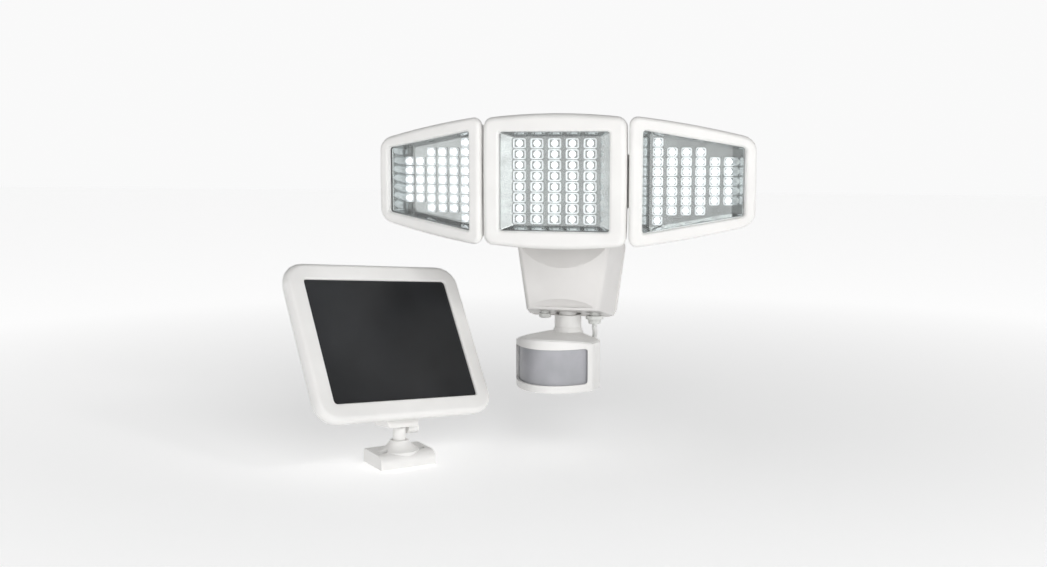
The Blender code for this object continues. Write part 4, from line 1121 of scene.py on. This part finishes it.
def make_stand():
    stem = lathe("stand_stem", ((5.5, -21.7), (5.5, -4.6)), (0, 0, 0), 48)
    ball = start("ball", bpy.ops.mesh.primitive_uv_sphere_add, segments=40, ring_count=20, radius=6.8 * MM)
    combine(stem, done(ball), "UNION")
    clean(stem)
    place(stem, shift(*STEM_BALL_AT))
    finish(stem, WHITE_ABS, "stem", "white_plastic", "panel_stem")

    base = outline("stand_base", [(-19.0, 12.1), (19.0, 12.1), (19.0, 0.0), (-19.0, 0.0)], (9.0, 3.0, 0.5, 1.0),
                   (0,) * 4, -25.0, cuts=1, steps=8)
    edit(base)
    everything()
    extrude((0, 50.0, 0))
    outwards()
    pick(base, "EDGE", turn_edge(lambda face: abs(face.normal.y) > 0.9, lambda face: abs(face.normal.y) < 0.9))
    round_edges(0.7, 3)
    done()
    place(base, turn(90, "Z"))
    cone = lathe("cone", (
        (17.5, 8.0), (17.0, 12.3), (14.4, 13.3), (11.4, 15.4), (9.2, 18.0), (8.0, 20.2), (7.2, 20.5)),
        (0, 0, 0), 48)
    combine(base, cone, "UNION")
    combine(base, lathe("bore", ((5.9, 13.8), (5.9, 30.0)), (0, 0, 0), 32))
    for x in (-17.0, 17.0):
        combine(base, lathe("pit", ((2.2, 0.4), (2.2, 3.4), (4.2, 3.6), (4.2, 15.0)), (x, -4.0, 0), 32))
    clean(base)
    place(base, shift(*STEM_BALL_AT[:2], GROUND_Z) @ turn(BASE_TURN, "Z"))
    finish(base, WHITE_ABS, "lamp_body", "white_plastic", "panel_base")


make_panel()
make_stand()


# ---------------------------------------------------------------- CAD nodes that stay

KEPT = {
    WHITE_ABS: ("centre_rear_shell", "left_rear_shell", "right_rear_shell", "swivel_ball"),
    GREY_NYLON: ("wall_plate", "tilt_bracket", "tilt_yoke", "sensor_inlet", "panel_cable_gland",
                 "battery_holder"),
    BLACK_ACETAL: ("time_knob", "range_knob", "mode_switch"),
    ACRYLIC: ("centre_cover", "left_cover", "right_cover"),
    EPDM: ("centre_seal", "left_seal", "right_seal"),
    STAINLESS: ("body_screw_1", "body_screw_2", "body_screw_3", "body_screw_4", "clamp_screw", "tilt_pin",
                "left_wing_pin", "right_wing_pin", "infrared_detector"),
    SOLDER_MASK: ("control_board", "sensor_board"),
    SLEEVE: ("battery_cell_1", "battery_cell_2", "battery_cell_3"),
    GLASS: ("panel_glass",),
    SILICON: ("solar_cells",),
}
for look, names in KEPT.items():
    for name in names:
        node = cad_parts[name]
        for material_slot in node.material_slots:
            material_slot.material = look


# ---------------------------------------------------------------- floor and light

FLOOR_SIZE = 12.0
FLOOR_GAP = 0.0005
# The strength of the dark room round the backdrop.
ROOM = 0.16


def make_stage():
    ground = cad_bounds[0][2] - FLOOR_GAP
    bpy.ops.object.select_all(action="DESELECT")
    bpy.ops.mesh.primitive_plane_add(size=FLOOR_SIZE, location=(0, 0, ground))
    floor = bpy.context.object
    floor.name = "floor"
    look = new_material("pale_paper", "#f4f4f4", 0.9)
    look.node_tree.nodes["Principled BSDF"].inputs["Emission Color"].default_value = linear("#ffffff")
    # The sheet glows as though lit from below, more strongly towards its edges; the weaker glow near the middle
    # is painted shade round the object.
    where = add_node(look, "ShaderNodeTexCoord")
    far = add_node(look, "ShaderNodeVectorMath", [(0, where, "Object")], operation="LENGTH")
    glow_with_painted_shade = add_node(look, "ShaderNodeMapRange", [("Value", far, "Value")], From_Min=0.15, From_Max=1.1,
                    To_Min=0.42, To_Max=0.74)
    link(look, glow_with_painted_shade, "Result", "Emission Strength")
    floor.data.materials.append(look)
    world = bpy.data.worlds.new("soft_studio")
    bpy.context.scene.world = world
    world.use_nodes = True
    background = world.node_tree.nodes["Background"]
    background.inputs["Color"].default_value = linear("#ffffff")
    # The backdrop is white up to about 9 degrees above the floor and dims to the dark room above 16 degrees.
    way = add_node(world, "ShaderNodeTexCoord")
    split = add_node(world, "ShaderNodeSeparateXYZ", [("Vector", way, "Generated")])
    fade = add_node(world, "ShaderNodeMapRange", [("Value", split, "Z")], interpolation_type="SMOOTHSTEP",
                    From_Min=0.15, From_Max=0.28, To_Min=0.95, To_Max=ROOM)
    world.node_tree.links.new(fade.outputs["Result"], background.inputs["Strength"])


def add_light(name, where, aim, size, power):
    data = bpy.data.lights.new(name, "AREA")
    data.shape = "RECTANGLE"
    data.size, data.size_y = size
    data.energy = power
    light = bpy.data.objects.new(name, data)
    bpy.context.scene.collection.objects.link(light)
    light.location = where
    light.rotation_euler = (Vector(aim) - Vector(where)).to_track_quat("-Z", "Y").to_euler()


make_stage()
add_light("key", (0.85, -1.68, 0.85), (0.0, -0.08, 0.0), (1.1, 1.1), 13.5)
add_light("front_fill", (0.25, -1.9, -0.02), (0.0, -0.08, 0.0), (0.7, 0.3), 1.3)
# A white card at each side, for the mirrored walls to reflect.
add_light("left_card", (-1.5, -0.9, 0.15), (0.0, -0.1, 0.05), (1.0, 1.0), 2.0)
add_light("right_card", (1.35, -1.1, 0.12), (0.0, -0.1, 0.05), (0.7, 0.8), 2.6)


def add_spot():
    """A narrow lamp square on the solar panel."""
    data = bpy.data.lights.new("panel_spot", "SPOT")
    data.energy = 4.5
    data.spot_size = 19 * DEG
    data.spot_blend = 0.6
    data.shadow_soft_size = 0.08
    spot = bpy.data.objects.new("panel_spot", data)
    bpy.context.scene.collection.objects.link(spot)
    spot.location = (0.46, -0.47, 0.33)
    spot.rotation_euler = (Vector((-0.112, -0.13, -0.035)) - spot.location).to_track_quat("-Z", "Y").to_euler()


add_spot()
bpy.context.scene.view_settings.view_transform = "Standard"
